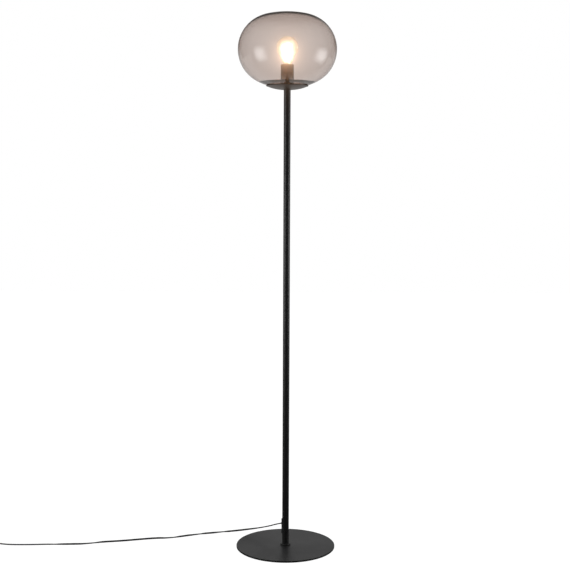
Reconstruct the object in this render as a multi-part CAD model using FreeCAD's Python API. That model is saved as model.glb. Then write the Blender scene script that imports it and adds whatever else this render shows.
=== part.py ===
import FreeCAD, Part
import math
import os

# Globe floor lamp: a smoked glass globe on a slim sectional pole with a round steel foot.

vec = FreeCAD.Vector
UP = vec(0, 0, 1)
OUT = vec(1, 0, 0)
os.makedirs("parts", exist_ok=True)

# ---- driving dimensions, millimetres and degrees ----

# clearances
fit_clearance = 0.05        # radial, pressed and threaded pieces
running_clearance = 0.08    # radial, turning and sliding pieces
seat_gap = 0.3              # between pieces that only rest on each other
overcut = 1.0               # how far a cutting shape passes each face
same_place = 0.001          # edges nearer than this to a plane lie in it

# foot
base_diameter = 280.0
base_thickness = 5.0
base_edge_radius = 0.8
pad_diameter = 24.0
pad_thickness = 1.0
pad_count = 6
pad_inset = 18.0            # pad centre in from the plate's edge
collar_diameter = 29.0
collar_height = 4.0
collar_floor = 1.5
collar_edge_radius = 1.0
collar_hole_margin = 1.0    # round the base screw
base_screw_diameter = 8.0
base_screw_length = 20.0
base_screw_head_diameter = 15.8
base_screw_head_height = 4.2
base_screw_hex = 5.0
base_screw_hex_depth = 3.0
base_screw_end_room = 2.0   # hole past the screw's end

# pole
pole_diameter = 19.0
pole_wall = 1.2
lower_section_count = 3
lower_section_length = 335.8
top_section_length = 275.3
pole_edge_chamfer = 0.3
foot_insert_length = 24.0
stud_length = 18.0
stud_thread_diameter = 12.0
stud_thread_length = 12.0
stud_bore_diameter = 8.0
socket_length = 16.0
top_insert_length = 15.0

# globe holder
dish_bottom_radius = 170.0
dish_side_radius = 90.0
dish_blend_radius = 38.0    # where the bottom arc meets the side arc
dish_rim_radius = 57.4
dish_sheet = 1.2
gasket_bead_diameter = 2.4
threaded_tube_diameter = 10.0
threaded_tube_bore = 7.2
threaded_tube_below = 12.0
threaded_tube_above = 15.0  # past the locator's floor
spacer_diameter = 16.0
locator_diameter = 80.4
locator_sheet = 1.0
locator_rim_height = 8.0
locator_blend_radius = 2.0
globe_spring_count = 3
globe_spring_width = 8.0
globe_spring_sheet = 0.5
globe_spring_hook = 2.0     # how far it reaches down inside the rim
globe_spring_bow_half = 1.0 # half the flat at the bow's middle
globe_spring_foot = 0.5     # above the locator's rounded edge
washer_diameter = 18.0
washer_thickness = 1.0
nut_across_flats = 14.0
nut_thickness = 3.0

# lampholder
sleeve_diameter = 36.0
sleeve_wall = 0.8
sleeve_height = 61.2
holder_base_height = 22.0
holder_wall = 2.4
holder_floor = 4.0
core_height = 29.0
core_cavity_diameter = 28.2
core_floor = 3.0
shell_wall = 0.4
shell_height = 24.0
contact_width = 6.0
contact_sheet = 0.5
contact_rise = 2.5
contact_end_margin = 1.0    # foot's end from the screw shell
terminal_screw_diameter = 3.0
terminal_screw_below = 2.5  # under the core
terminal_head_diameter = 5.6
terminal_head_height = 1.4
terminal_offset = 9.0

# glass globe
globe_diameter = 271.5
globe_crown_radius = 277.6
globe_side_radius = 95.8
globe_bottom_radius = 183.3
globe_wall = 2.5
globe_opening_diameter = 84.0

# bulb
bulb_diameter = 60.0
bulb_length = 106.0
bulb_wall = 0.7
bulb_cap_diameter = 26.0
bulb_cap_wall = 0.6
bulb_cap_height = 20.0
bulb_insulator_height = 3.5
bulb_insulator_step = 1.0   # foot of the insulator round the tip
bulb_tip_diameter = 9.0
bulb_tip_height = 1.5
bulb_neck_length = 6.0      # glass held inside the cap
bulb_neck_rise = 2.0        # straight neck above the cap
bulb_stem_diameter = 10.0
bulb_stem_length = 34.0
bulb_stem_foot = 8.0
bulb_stem_tip_diameter = 3.0
bulb_wire_diameter = 0.7
bulb_wire_drop = 8.0        # from the filaments' feet to where the wires leave the stem
filament_rise = 14.0        # above the cap
filament_count = 4
filament_diameter = 1.8
filament_length = 38.0
filament_spread = 9.0
filament_lean = 3.0

# wiring
cord_width = 5.2            # flat two-core cord
cord_thickness = 3.2
cord_diameter = (cord_width + cord_thickness) / 2
cord_bend_reach = 5.0       # from the corner inside the pole to the bend's ends
cord_exit_run = 18.0        # straight run out of the outlet and into the switch
lead_diameter = 2.2
lead_rise = 2.0             # straight up past the threaded tube
lead_terminal_run = 4.5     # straight up to the terminal
cord_end_above_nut = 2.0

# cable outlet
outlet_angle = 140.0        # from +X, back left of the pole
outlet_height = 65.0        # where the cord leaves
outlet_dip = 18.0           # the cord leaves this far below the level
outlet_bottom = 35.5
outlet_top = 81.0
outlet_width = 9.0
outlet_proud = 2.3
outlet_edge_radius = 0.7
outlet_nose_diameter = 8.4
outlet_nose_length = 2.0
outlet_nose_root = 2.0      # nose inside the plate
outlet_nose_taper = 0.6     # radius lost to the tip
outlet_plug_depth = 3.4     # into the pole's slot
slot_width = 6.4
slot_end_margin = 4.5       # from the outlet's ends to the slot's
outlet_screw_drop = 4.0     # below the outlet's top
outlet_screw_diameter = 3.0
outlet_screw_head_diameter = 5.8
outlet_screw_head_height = 1.9
outlet_screw_edge_radius = 0.6
outlet_screw_bite = 1.6     # into the grip
grip_diameter = 13.0
grip_length = 9.0

# foot switch on the cord
switch_x = -906.0
switch_y = 4.0
switch_length = 78.0
switch_width = 35.0
switch_wall = 2.0
switch_split = 12.0
switch_height = 27.0
switch_edge_radius = 5.0
switch_cord_height = 7.0
switch_nose_diameter = 9.0
switch_nose_length = 5.0
button_diameter = 20.0
button_proud = 3.0
button_travel = 3.0
button_flange_diameter = 24.0
button_flange_thickness = 2.0
button_edge_radius = 1.2
plunger_diameter = 10.0
plunger_bore = 6.4
plunger_play = 0.5          # above the rotor when pressed
rotor_bottom = 4.0
rotor_height = 5.0
rotor_diameter = 13.0
rotor_lobe_reach = 8.0
rotor_lobe_width = 3.0
rotor_lobe_count = 4
pivot_diameter = 4.0
rotor_stop_diameter = 8.0
carrier_gap = 1.0           # above the rotor
carrier_thickness = 1.2
carrier_diameter = 29.0
carrier_post_diameter = 3.0
carrier_post_x = 11.0
carrier_post_y = 4.0
spring_wire = 0.8
spring_diameter = 16.4
spring_turns = 5
blade_thickness = 0.8
blade_length = 16.0
blade_height = 4.0
blade_gap = 0.6
switch_screw_diameter = 3.0
switch_screw_head_diameter = 5.6
switch_screw_head_height = 2.0
switch_screw_sink = 1.0     # head's face above the floor side
switch_screw_x = 27.0
switch_screw_y = 9.0
switch_screw_bite = 6.0     # thread in the cover
switch_screw_end_room = 1.0
screw_boss_wall = 1.0
screw_pillar_diameter = 6.8
cord_end_inside = 9.0

# free cord: hand-chosen points between the outlet and the switch
main_route = [
    (-45.0, 39.0, 47.2),
    (-76.0, 66.0, 32.4),
    (-112.0, 91.0, 19.6),
    (-151.0, 107.0, 9.6),
    (-190.0, 113.5, 4.0),
    (-231.0, 106.5, 2.1),
    (-268.0, 94.5, 2.1),
    (-303.5, 76.5, 2.1),
    (-339.0, 63.5, 2.1),
    (-378.0, 60.0, 2.1),
    (-424.0, 48.5, 2.1),
    (-473.5, 34.2, 2.1),
    (-524.0, 25.5, 2.1),
    (-558.0, 14.5, 2.1),
    (-592.0, 6.0, 2.1),
    (-636.0, 3.2, 2.1),
    (-680.0, 3.6, 2.1),
    (-722.0, 0.0, 2.1),
    (-768.0, -1.5, 2.1),
    (-806.0, 1.5, 2.1),
]

# put-away coil
coil_x = -1022.0
coil_y = -29.0
coil_outer_radius = 33.0    # middle of the outermost turn
coil_pitch = 5.6            # from one turn to the next
coil_layer_rise = 4.8
coil_layer_turns = 2.75
coil_lift = 1.3             # the tie's band passes under the turns
tie_width = 7.0
tie_thickness = 0.8
plug_run = 66.0             # coil to plug
short_run = 16.0            # straight runs at the ends of the two short stretches
plug_side_shift = 2.0       # plug's axis beside the coil's end

# mains plug
plug_length = 34.0
plug_width = 35.3
plug_rear_width = 14.0
plug_shoulder_length = 11.9 # from the rear to the full width
plug_thickness = 13.7
plug_edge_radius = 2.5
plug_boot_length = 16.0
plug_boot_diameter = 8.4
plug_boot_end_diameter = 10.4
plug_boot_root = 3.0        # boot inside the body
pin_diameter = 4.0
pin_length = 19.0
pin_tip_radius = 1.0
pin_root_diameter = 3.0     # thinner inside the body
pin_root_length = 8.0
pin_spacing = 18.6

# ---- derived places ----

plate_bottom = pad_thickness
plate_top = plate_bottom + base_thickness
pole_bottom = plate_top + collar_floor
pole_radius = pole_diameter / 2
pole_bore = pole_radius - pole_wall
insert_radius = pole_bore - fit_clearance
pole_section_lengths = [lower_section_length] * lower_section_count + [top_section_length]
pole_top = pole_bottom + sum(pole_section_lengths)
cord_radius = cord_diameter / 2


def rise_on_arc(radius, offset):
    """Height of a circular arc above its lowest point at a distance from the axis."""
    return radius - math.sqrt(radius ** 2 - offset ** 2)


# dish: a wide bottom arc and a tighter side arc, tangent to each other
dish_bottom_centre = pole_top + dish_bottom_radius
blend_slope = math.asin(dish_blend_radius / dish_bottom_radius)
dish_side_centre_r = (dish_bottom_radius - dish_side_radius) * math.sin(blend_slope)
dish_side_centre_z = dish_bottom_centre - (dish_bottom_radius - dish_side_radius) * math.cos(blend_slope)


def dish_surface(radius, inward):
    """Height of the dish's underside, moved inward by a distance square to the sheet."""
    blend = (dish_bottom_radius - inward) * math.sin(blend_slope)
    if radius <= blend:
        return dish_bottom_centre - math.sqrt((dish_bottom_radius - inward) ** 2 - radius ** 2)
    reach = dish_side_radius - inward
    return dish_side_centre_z - math.sqrt(reach ** 2 - (radius - dish_side_centre_r) ** 2)


gasket_radius = dish_rim_radius - dish_sheet / 2
gasket_height = dish_surface(gasket_radius, dish_sheet / 2)

# globe: it rests on the bead with its bottom arc
globe_bottom_centre = gasket_height + math.sqrt(
    (globe_bottom_radius + gasket_bead_diameter / 2 + seat_gap) ** 2 - gasket_radius ** 2)
globe_equator_radius = globe_diameter / 2
globe_side_centre_r = globe_equator_radius - globe_side_radius
globe_equator = globe_bottom_centre - math.sqrt(
    (globe_bottom_radius - globe_side_radius) ** 2 - globe_side_centre_r ** 2)
globe_crown_centre = globe_equator - math.sqrt(
    (globe_crown_radius - globe_side_radius) ** 2 - globe_side_centre_r ** 2)
total_height = globe_crown_centre + globe_crown_radius

# the stack inside the dish
dish_floor = pole_top + dish_sheet
locator_radius = locator_diameter / 2
locator_bottom = dish_surface(locator_radius, dish_sheet) + seat_gap
locator_floor = locator_bottom + locator_sheet
nut_bottom = locator_floor + washer_thickness
nut_top = nut_bottom + nut_thickness
threaded_tube_top = locator_floor + threaded_tube_above
sleeve_radius = sleeve_diameter / 2
sleeve_top = locator_floor + sleeve_height
holder_radius = sleeve_radius - sleeve_wall - fit_clearance
holder_base_bottom = nut_top + seat_gap
core_bottom = holder_base_bottom + holder_base_height
core_top = core_bottom + core_height
shell_bottom = core_top - shell_height
shell_inner_radius = core_cavity_diameter / 2 - fit_clearance - shell_wall

# bulb
bulb_bottom = core_bottom + core_floor + contact_rise + seat_gap
cap_bottom = bulb_bottom + bulb_tip_height + bulb_insulator_height
cap_top = cap_bottom + bulb_cap_height
bulb_top = bulb_bottom + bulb_length
neck_radius = bulb_cap_diameter / 2 - bulb_cap_wall - fit_clearance

# inner cord
inner_cord_top = nut_top + cord_end_above_nut

# foot switch
switch_place = vec(switch_x, switch_y, 0)
carrier_bottom = rotor_bottom + rotor_height + carrier_gap
carrier_top = carrier_bottom + carrier_thickness
cover_ceiling = switch_height - switch_wall
flange_top = cover_ceiling - seat_gap
flange_bottom = flange_top - button_flange_thickness
plunger_bottom = rotor_bottom + rotor_height + button_travel + plunger_play
screw_seat = switch_screw_sink + switch_screw_head_height
screw_places = [(sign * switch_screw_x, sign * switch_screw_y) for sign in (-1, 1)]

# coil
coil_place = vec(coil_x, coil_y, 0)

parts_made = {}


# ---- helpers ----

def cylinder(radius, bottom, top, x=0.0, y=0.0):
    return Part.makeCylinder(radius, top - bottom, vec(x, y, bottom))


def ring(outer, inner, bottom, top, x=0.0, y=0.0):
    return cylinder(outer, bottom, top, x, y).cut(cylinder(inner, bottom - overcut, top + overcut, x, y))


def cone(lower, upper, bottom, top):
    return Part.makeCone(lower, upper, top - bottom, vec(0, 0, bottom))


def box(x0, x1, y0, y1, z0, z1):
    return Part.makeBox(x1 - x0, y1 - y0, z1 - z0, vec(x0, y0, z0))


def slot_prism(length, width, bottom, top):
    """An upright prism with round ends, long in X."""
    half = (length - width) / 2
    middle = box(-half, half, -width / 2, width / 2, bottom, top)
    ends = [cylinder(width / 2, bottom, top, side * half) for side in (-1, 1)]
    return middle.fuse(ends).removeSplitter()


def hexagon(across_flats, bottom, top):
    corner = across_flats / math.sqrt(3)
    turns = [math.radians(60 * k) for k in range(7)]
    points = [vec(corner * math.cos(turn), corner * math.sin(turn), bottom) for turn in turns]
    return Part.Face(Part.makePolygon(points)).extrude(vec(0, 0, top - bottom))


def line(a, b):
    return Part.LineSegment(a, b).toShape()


def arc_about(centre_r, centre_z, radius, start, end):
    """An arc in the XZ plane, with its angles measured from +X towards +Z."""
    def at(angle):
        turn = math.radians(angle)
        return vec(centre_r + radius * math.cos(turn), 0, centre_z + radius * math.sin(turn))
    return Part.Arc(at(start), at((start + end) / 2), at(end)).toShape()


def end_points(edge):
    return edge.valueAt(edge.FirstParameter), edge.valueAt(edge.LastParameter)


def revolve(edges, angle=360.0):
    return Part.Face(Part.Wire(Part.__sortEdges__(edges))).revolve(vec(0, 0, 0), UP, angle)


def turned(shape, angle, centre=vec(0, 0, 0)):
    copy = shape.copy()
    copy.rotate(centre, UP, angle)
    return copy


def moved(shape, offset):
    copy = shape.copy()
    copy.translate(offset)
    return copy


def edges_at(shape, height):
    """Edges that lie at one height."""
    return [edge for edge in shape.Edges
            if max(abs(edge.BoundBox.ZMin - height), abs(edge.BoundBox.ZMax - height)) < same_place]


def part(name, *solids):
    """Write one named piece, or one group of identical pieces."""
    shape = solids[0] if len(solids) == 1 else Part.makeCompound(list(solids))
    assert shape.isValid(), name
    parts_made[name] = shape
    shape.exportStep("parts/" + name + ".step")
    return shape


# ---- tubes along a route ----

def tangent_arc(start, corner, end):
    """The arc that leaves start towards corner and arrives at end from corner."""
    chord_middle = (start + end) / 2
    towards = chord_middle - corner
    half_chord = (end - start).Length / 2
    tangent = (corner - start).Length
    radius = tangent * half_chord / towards.Length
    depth = math.sqrt(radius ** 2 + tangent ** 2) - radius
    middle = corner + towards * (depth / towards.Length)
    return Part.Arc(start, middle, end).toShape()


def route_wire(points):
    """Straight runs joined by tangent arcs, each as large as its two runs allow."""
    edges = []
    radii = []
    at = points[0]
    for before, corner, after in zip(points, points[1:], points[2:]):
        back = before - corner
        ahead = after - corner
        reach = 0.45 * min(back.Length, ahead.Length)
        half_turn = (math.pi - back.getAngle(ahead)) / 2
        radii.append(reach / math.tan(half_turn))
        arc_start = corner + back * (reach / back.Length)
        arc_end = corner + ahead * (reach / ahead.Length)
        edges.append(line(at, arc_start))
        edges.append(tangent_arc(arc_start, corner, arc_end))
        at = arc_end
    edges.append(line(at, points[-1]))
    return Part.Wire(edges), radii


def swept(wire, radius):
    """A round tube along a wire."""
    start = wire.Edges[0]
    first, towards = start.valueAt(start.FirstParameter), start.tangentAt(start.FirstParameter)
    circle = Part.Wire(Part.Circle(first, towards, radius).toShape())
    tube = wire.makePipeShell([circle], True, False)
    return tube if tube.Volume > 0 else tube.reversed()


def cord(name, points, diameter=cord_diameter):
    """A cord along hand-chosen points, with its radii and volume printed."""
    wire, radii = route_wire(points)
    tube = swept(wire, diameter / 2)
    expected = math.pi * diameter ** 2 / 4 * wire.Length
    print(f"{name}: length {wire.Length:.1f}, least radius {min(radii, default=0):.1f}, "
          f"volume over section times length {tube.Volume / expected:.4f}")
    print("   radii", " ".join(f"{radius:.0f}" for radius in radii))
    return part(name, tube)


def biarc(start, heading, end, arrival):
    """Two tangent arcs from one place and direction to another."""
    across = end - start
    both = heading + arrival
    spread = 2 * (1 - heading.dot(arrival))
    along = across.dot(both)
    reach = (math.sqrt(along ** 2 + spread * across.dot(across)) - along) / spread
    first_corner = start + heading * reach
    second_corner = end - arrival * reach
    joint = (first_corner + second_corner) / 2
    return [tangent_arc(start, first_corner, joint), tangent_arc(joint, second_corner, end)]


def wound_wire(position, turns, steps, lead_in, lead_out):
    """Turns given by a function of the turn count, with a straight run at each end."""
    small = 1e-4
    edges = []
    places = []
    for k in range(steps + 1):
        turn = turns * k / steps
        ahead = position(min(turn + small, turns))
        behind = position(max(turn - small, 0))
        places.append((position(turn), (ahead - behind).normalize()))
    first, heading = places[0]
    if lead_in:
        edges.append(line(first - heading * lead_in, first))
    for (start, leaving), (end, arriving) in zip(places, places[1:]):
        edges.extend(biarc(start, leaving, end, arriving))
    last, heading = places[-1]
    if lead_out:
        edges.append(line(last, last + heading * lead_out))
    return Part.Wire(edges)


def least_gap(wire, diameter, apart):
    """Smallest space between turns, measured on points at least this far apart along the wire."""
    count = int(wire.Length / 3.0)
    points = wire.discretize(Number=count)
    step = wire.Length / (count - 1)
    skip = int(apart / step)
    least = min((a - b).Length for i, a in enumerate(points) for b in points[i + skip:])
    return least - diameter


# ---- foot ----

def make_base():
    plate = cylinder(base_diameter / 2, plate_bottom, plate_top)
    rims = edges_at(plate, plate_top) + edges_at(plate, plate_bottom)
    plate = plate.makeFillet(base_edge_radius, rims)
    shank = base_screw_diameter / 2
    head = base_screw_head_diameter / 2
    head_top = plate_bottom + base_screw_head_height
    hole = cylinder(shank + fit_clearance, plate_bottom - overcut, plate_top + overcut)
    sink = cone(head + fit_clearance, shank + fit_clearance, plate_bottom, head_top)
    part("base_plate", plate.cut(hole).cut(sink))

    pad_ring = base_diameter / 2 - pad_inset
    pad = cylinder(pad_diameter / 2, 0, pad_thickness, pad_ring)
    part("base_pads", *[turned(pad, 360 / pad_count * k) for k in range(pad_count)])

    screw_top = plate_bottom + base_screw_length
    screw = cone(head, shank, plate_bottom, head_top).fuse(cylinder(shank, head_top, screw_top))
    hex_hole = hexagon(base_screw_hex, plate_bottom - overcut, plate_bottom + base_screw_hex_depth)
    part("base_screw", screw.removeSplitter().cut(hex_hole))

    collar = cylinder(collar_diameter / 2, plate_top, plate_top + collar_height)
    collar = collar.makeFillet(collar_edge_radius, edges_at(collar, plate_top + collar_height))
    recess = cylinder(pole_radius + fit_clearance, pole_bottom, plate_top + collar_height + overcut)
    hole = cylinder(shank + collar_hole_margin, plate_top - overcut, pole_bottom + overcut)
    part("foot_collar", collar.cut(recess).cut(hole))

    insert = cylinder(insert_radius, pole_bottom, pole_bottom + foot_insert_length)
    thread = cylinder(shank + fit_clearance, pole_bottom - overcut, screw_top + base_screw_end_room)
    part("foot_insert", insert.cut(thread))


# ---- pole ----

def make_pole():
    bottom = pole_bottom
    last = len(pole_section_lengths)
    for number, length in enumerate(pole_section_lengths, start=1):
        top = bottom + length
        tube = cylinder(pole_radius, bottom, top)
        ends = edges_at(tube, top if number < last else bottom)
        if 1 < number < last:
            ends = edges_at(tube, top) + edges_at(tube, bottom)
        tube = tube.makeChamfer(pole_edge_chamfer, ends)
        tube = tube.cut(cylinder(pole_bore, bottom - overcut, top + overcut))
        if number == 1:
            tube = tube.cut(turned(outlet_slot().fuse(outlet_screw_hole()), outlet_angle))
        part(f"pole_{number}", tube)
        if number < last:
            make_joint(number, top)
        bottom = top
    thread = threaded_tube_diameter / 2 + fit_clearance
    part("top_insert", ring(insert_radius, thread, pole_top - top_insert_length, pole_top))


def make_joint(number, seam):
    """A hollow stud in the top of one section and a socket in the foot of the next."""
    bore = stud_bore_diameter / 2
    thread = stud_thread_diameter / 2
    low = seam - stud_length
    high = seam + stud_thread_length
    stud = cylinder(insert_radius, low, seam).fuse(cylinder(thread, seam, high)).removeSplitter()
    part(f"joint_stud_{number}", stud.cut(cylinder(bore, low - overcut, high + overcut)))
    socket = ring(insert_radius, thread + fit_clearance, seam, seam + socket_length)
    part(f"joint_socket_{number}", socket)


# ---- cable outlet, modelled towards +X and turned to its place ----

def upright_slot(width, bottom, top, inner, outer):
    """A block with round ends, long in Z, between two distances along X."""
    half = width / 2
    middle = box(inner, outer, -half, half, bottom + half, top - half)
    ends = [Part.makeCylinder(half, outer - inner, vec(inner, 0, z), OUT)
            for z in (bottom + half, top - half)]
    return middle.fuse(ends).removeSplitter()


def outlet_slot():
    return upright_slot(slot_width, outlet_bottom + slot_end_margin,
                        outlet_top - outlet_screw_drop - slot_end_margin, 0, pole_radius + overcut)


def outlet_screw_hole():
    radius = outlet_screw_diameter / 2 + fit_clearance
    return Part.makeCylinder(radius, pole_diameter, vec(0, 0, outlet_top - outlet_screw_drop), OUT)


def make_outlet():
    face = pole_radius + outlet_proud
    tip = face + outlet_nose_length
    plate = upright_slot(outlet_width, outlet_bottom, outlet_top, 0, face)
    front = [edge for edge in plate.Edges if abs(edge.BoundBox.XMin - face) < same_place]
    plate = plate.makeFillet(outlet_edge_radius, front)
    plate = plate.cut(cylinder(pole_radius, outlet_bottom - overcut, outlet_top + overcut))
    plug = upright_slot(slot_width - 2 * fit_clearance, outlet_bottom + slot_end_margin + fit_clearance,
                        outlet_top - outlet_screw_drop - slot_end_margin - fit_clearance,
                        pole_radius - outlet_plug_depth, face - outlet_edge_radius)
    dip = math.radians(outlet_dip)
    heading = vec(math.cos(dip), 0, -math.sin(dip))
    nose_tip = vec(tip, 0, outlet_height)
    nose_whole = outlet_nose_length + outlet_nose_root
    nose_root = outlet_nose_diameter / 2
    nose = Part.makeCone(nose_root, nose_root - outlet_nose_taper, nose_whole,
                         nose_tip - heading * nose_whole, heading)
    cord_hole = Part.makeCylinder(cord_radius + fit_clearance, pole_diameter,
                                  nose_tip - heading * (pole_diameter - overcut), heading)
    outlet = plate.fuse([plug, nose]).removeSplitter().cut(cord_hole).cut(outlet_screw_hole())
    part("cable_outlet", turned(outlet, outlet_angle))

    screw_height = outlet_top - outlet_screw_drop
    grip_face = grip_diameter / 2
    shank_start = grip_face - outlet_screw_bite
    shank = Part.makeCylinder(outlet_screw_diameter / 2, face - shank_start,
                              vec(shank_start, 0, screw_height), OUT)
    head = Part.makeCylinder(outlet_screw_head_diameter / 2, outlet_screw_head_height,
                             vec(face, 0, screw_height), OUT)
    rim = [edge for edge in head.Edges if edge.BoundBox.XMin > face + outlet_screw_head_height / 2]
    head = head.makeFillet(outlet_screw_edge_radius, rim)
    part("outlet_screw", turned(shank.fuse(head).removeSplitter(), outlet_angle))

    grip_bottom = outlet_height + tip * math.tan(dip) + cord_bend_reach + fit_clearance
    grip = ring(grip_diameter / 2, cord_radius + fit_clearance, grip_bottom, grip_bottom + grip_length)
    part("cord_grip", turned(grip.cut(outlet_screw_hole()), outlet_angle))

    bend = vec(0, 0, outlet_height + tip * math.tan(dip))
    bend_start = bend + heading * cord_bend_reach
    bend_end = bend + UP * cord_bend_reach
    wire = Part.Wire([line(nose_tip, bend_start), tangent_arc(bend_start, bend, bend_end),
                      line(bend_end, vec(0, 0, inner_cord_top))])
    part("inner_cord", turned(swept(wire, cord_radius), outlet_angle))
    turn = FreeCAD.Rotation(UP, outlet_angle)
    return turn.multVec(nose_tip), turn.multVec(heading)


# ---- globe holder ----

def dish_arcs(inward, from_radius, to_radius):
    """The dish's two arcs, moved inward, as edges of its section."""
    blend = (dish_bottom_radius - inward) * math.sin(blend_slope)
    bottom = dish_bottom_radius - inward
    side = dish_side_radius - inward
    start = -90 + math.degrees(math.asin(from_radius / bottom))
    middle = -90 + math.degrees(blend_slope)
    end = -90 + math.degrees(math.asin((to_radius - dish_side_centre_r) / side))
    assert from_radius < blend < to_radius
    return [arc_about(0, dish_bottom_centre, bottom, start, middle),
            arc_about(dish_side_centre_r, dish_side_centre_z, side, middle, end)]


def make_dish():
    bore = threaded_tube_diameter / 2 + fit_clearance
    seat = pole_radius
    rim_slope = math.asin((dish_rim_radius - dish_side_centre_r) / dish_side_radius)
    inner_rim = dish_rim_radius - dish_sheet * math.sin(rim_slope)
    outer = dish_arcs(0, seat, dish_rim_radius)
    inner = dish_arcs(dish_sheet, seat, inner_rim)
    seat_under = end_points(outer[0])[0]
    seat_over = end_points(inner[0])[0]
    hole_under = vec(bore, 0, pole_top)
    hole_over = vec(bore, 0, dish_floor)
    flat_under = vec(seat, 0, pole_top)
    flat_over = vec(seat, 0, dish_floor)
    edges = [line(hole_under, flat_under), line(flat_under, seat_under)] + outer
    edges += [line(end_points(outer[1])[1], end_points(inner[1])[1])] + inner
    edges += [line(seat_over, flat_over), line(flat_over, hole_over), line(hole_over, hole_under)]
    dish = part("holder_dish", revolve(edges))

    bead = Part.makeTorus(gasket_radius, gasket_bead_diameter / 2, vec(0, 0, gasket_height))
    part("rim_gasket", bead.cut(dish))


def make_stack():
    thread = threaded_tube_diameter / 2
    tube_bottom = pole_top - threaded_tube_below
    part("threaded_tube", ring(thread, threaded_tube_bore / 2, tube_bottom, threaded_tube_top))
    part("dish_spacer", ring(spacer_diameter / 2, thread + fit_clearance, dish_floor, locator_bottom))

    rim_top = locator_bottom + locator_rim_height
    cup = cylinder(locator_radius, locator_bottom, rim_top)
    cup = cup.makeFillet(locator_blend_radius, edges_at(cup, locator_bottom))
    hollow = cylinder(locator_radius - locator_sheet, locator_floor, rim_top + overcut)
    hole = cylinder(thread + fit_clearance, locator_bottom - overcut, rim_top)
    part("globe_locator", cup.cut(hollow).cut(hole))

    bow = globe_opening_diameter / 2 - seat_gap
    wall = locator_radius
    sheet = globe_spring_sheet
    over = rim_top + fit_clearance
    inside = wall - locator_sheet - fit_clearance
    low = locator_bottom + locator_blend_radius + globe_spring_foot
    bow_low = (low + over) / 2 - globe_spring_bow_half
    bow_high = (low + over) / 2 + globe_spring_bow_half
    hook = over - globe_spring_hook
    outside = wall + fit_clearance
    section = [(inside, over + sheet), (outside, over + sheet), (bow, bow_high), (bow, bow_low),
               (outside + sheet, low), (outside, low), (bow - sheet, bow_low), (bow - sheet, bow_high),
               (outside, over), (inside, over), (inside, hook), (inside - sheet, hook),
               (inside - sheet, over + sheet)]
    points = [vec(r, 0, z) for r, z in section + section[:1]]
    angle = math.degrees(globe_spring_width / wall)
    leaf = turned(Part.Face(Part.makePolygon(points)).revolve(vec(0, 0, 0), UP, angle), -angle / 2)
    turns = [90 + 360 / globe_spring_count * k for k in range(globe_spring_count)]
    part("globe_springs", *[turned(leaf, turn) for turn in turns])

    part("lock_washer", ring(washer_diameter / 2, thread + fit_clearance, locator_floor, nut_bottom))
    nut = hexagon(nut_across_flats, nut_bottom, nut_top)
    part("lock_nut", nut.cut(cylinder(thread + fit_clearance, nut_bottom - overcut, nut_top + overcut)))


# ---- lampholder ----

def make_lampholder():
    thread = threaded_tube_diameter / 2
    sleeve = ring(sleeve_radius, sleeve_radius - sleeve_wall, locator_floor, sleeve_top)
    part("lampholder_sleeve", sleeve)

    cup = cylinder(holder_radius, holder_base_bottom, core_bottom)
    hollow = cylinder(holder_radius - holder_wall, holder_base_bottom + holder_floor, core_bottom + overcut)
    hole = cylinder(thread + fit_clearance, holder_base_bottom - overcut, core_bottom)
    part("lampholder_base", cup.cut(hollow).cut(hole))

    floor = core_bottom + core_floor
    terminal = terminal_screw_diameter / 2
    core = cylinder(holder_radius, core_bottom, core_top)
    core = core.cut(cylinder(core_cavity_diameter / 2, floor, core_top + overcut))
    hole = cylinder(terminal + fit_clearance, core_bottom - overcut, floor + overcut)
    sides = (-terminal_offset, terminal_offset)
    for side in sides:
        core = core.cut(moved(hole, vec(side, 0, 0)))
    part("lampholder_core", core)

    outer = core_cavity_diameter / 2 - fit_clearance
    part("screw_shell", ring(outer, shell_inner_radius, shell_bottom, core_top))

    half = contact_width / 2
    reach = shell_inner_radius - contact_end_margin
    rise = floor + contact_rise
    foot = box(-reach, -half, -half, half, floor, floor + contact_sheet)
    riser = box(-half - contact_sheet, -half, -half, half, floor, rise)
    top = box(-half - contact_sheet, half, -half, half, rise - contact_sheet, rise)
    tongue = foot.fuse([riser, top]).removeSplitter()
    hole = cylinder(terminal + fit_clearance, floor - overcut, floor + overcut, -terminal_offset)
    part("centre_contact", tongue.cut(hole))

    screw_end = core_bottom - terminal_screw_below
    screws = []
    for side, seat in zip(sides, (floor + contact_sheet, floor)):
        shank = cylinder(terminal, screw_end, seat, side)
        head = cylinder(terminal_head_diameter / 2, seat, seat + terminal_head_height, side)
        screws.append(shank.fuse(head).removeSplitter())
    part("lampholder_screws", *screws)

    for name, side in (("lead_live", -1), ("lead_neutral", 1)):
        start = vec(side * (lead_diameter / 2 + fit_clearance), 0, inner_cord_top)
        end = vec(side * terminal_offset, 0, screw_end)
        points = [start, vec(start.x, 0, threaded_tube_top + lead_rise), end - UP * lead_terminal_run, end]
        wire, _ = route_wire(points)
        part(name, swept(wire, lead_diameter / 2))


# ---- glass globe ----

def globe_arcs(inward, opening):
    """Bottom, side and crown arcs of the globe's section, from the opening to the axis."""
    bottom = globe_bottom_radius - inward
    side = globe_side_radius - inward
    crown = globe_crown_radius - inward
    start = -90 + math.degrees(math.asin(opening / bottom))
    lower = math.degrees(math.atan2(globe_equator - globe_bottom_centre, globe_side_centre_r))
    upper = math.degrees(math.atan2(globe_equator - globe_crown_centre, globe_side_centre_r))
    return [arc_about(0, globe_bottom_centre, bottom, start, lower),
            arc_about(globe_side_centre_r, globe_equator, side, lower, upper),
            arc_about(0, globe_crown_centre, crown, upper, 90)]


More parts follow.
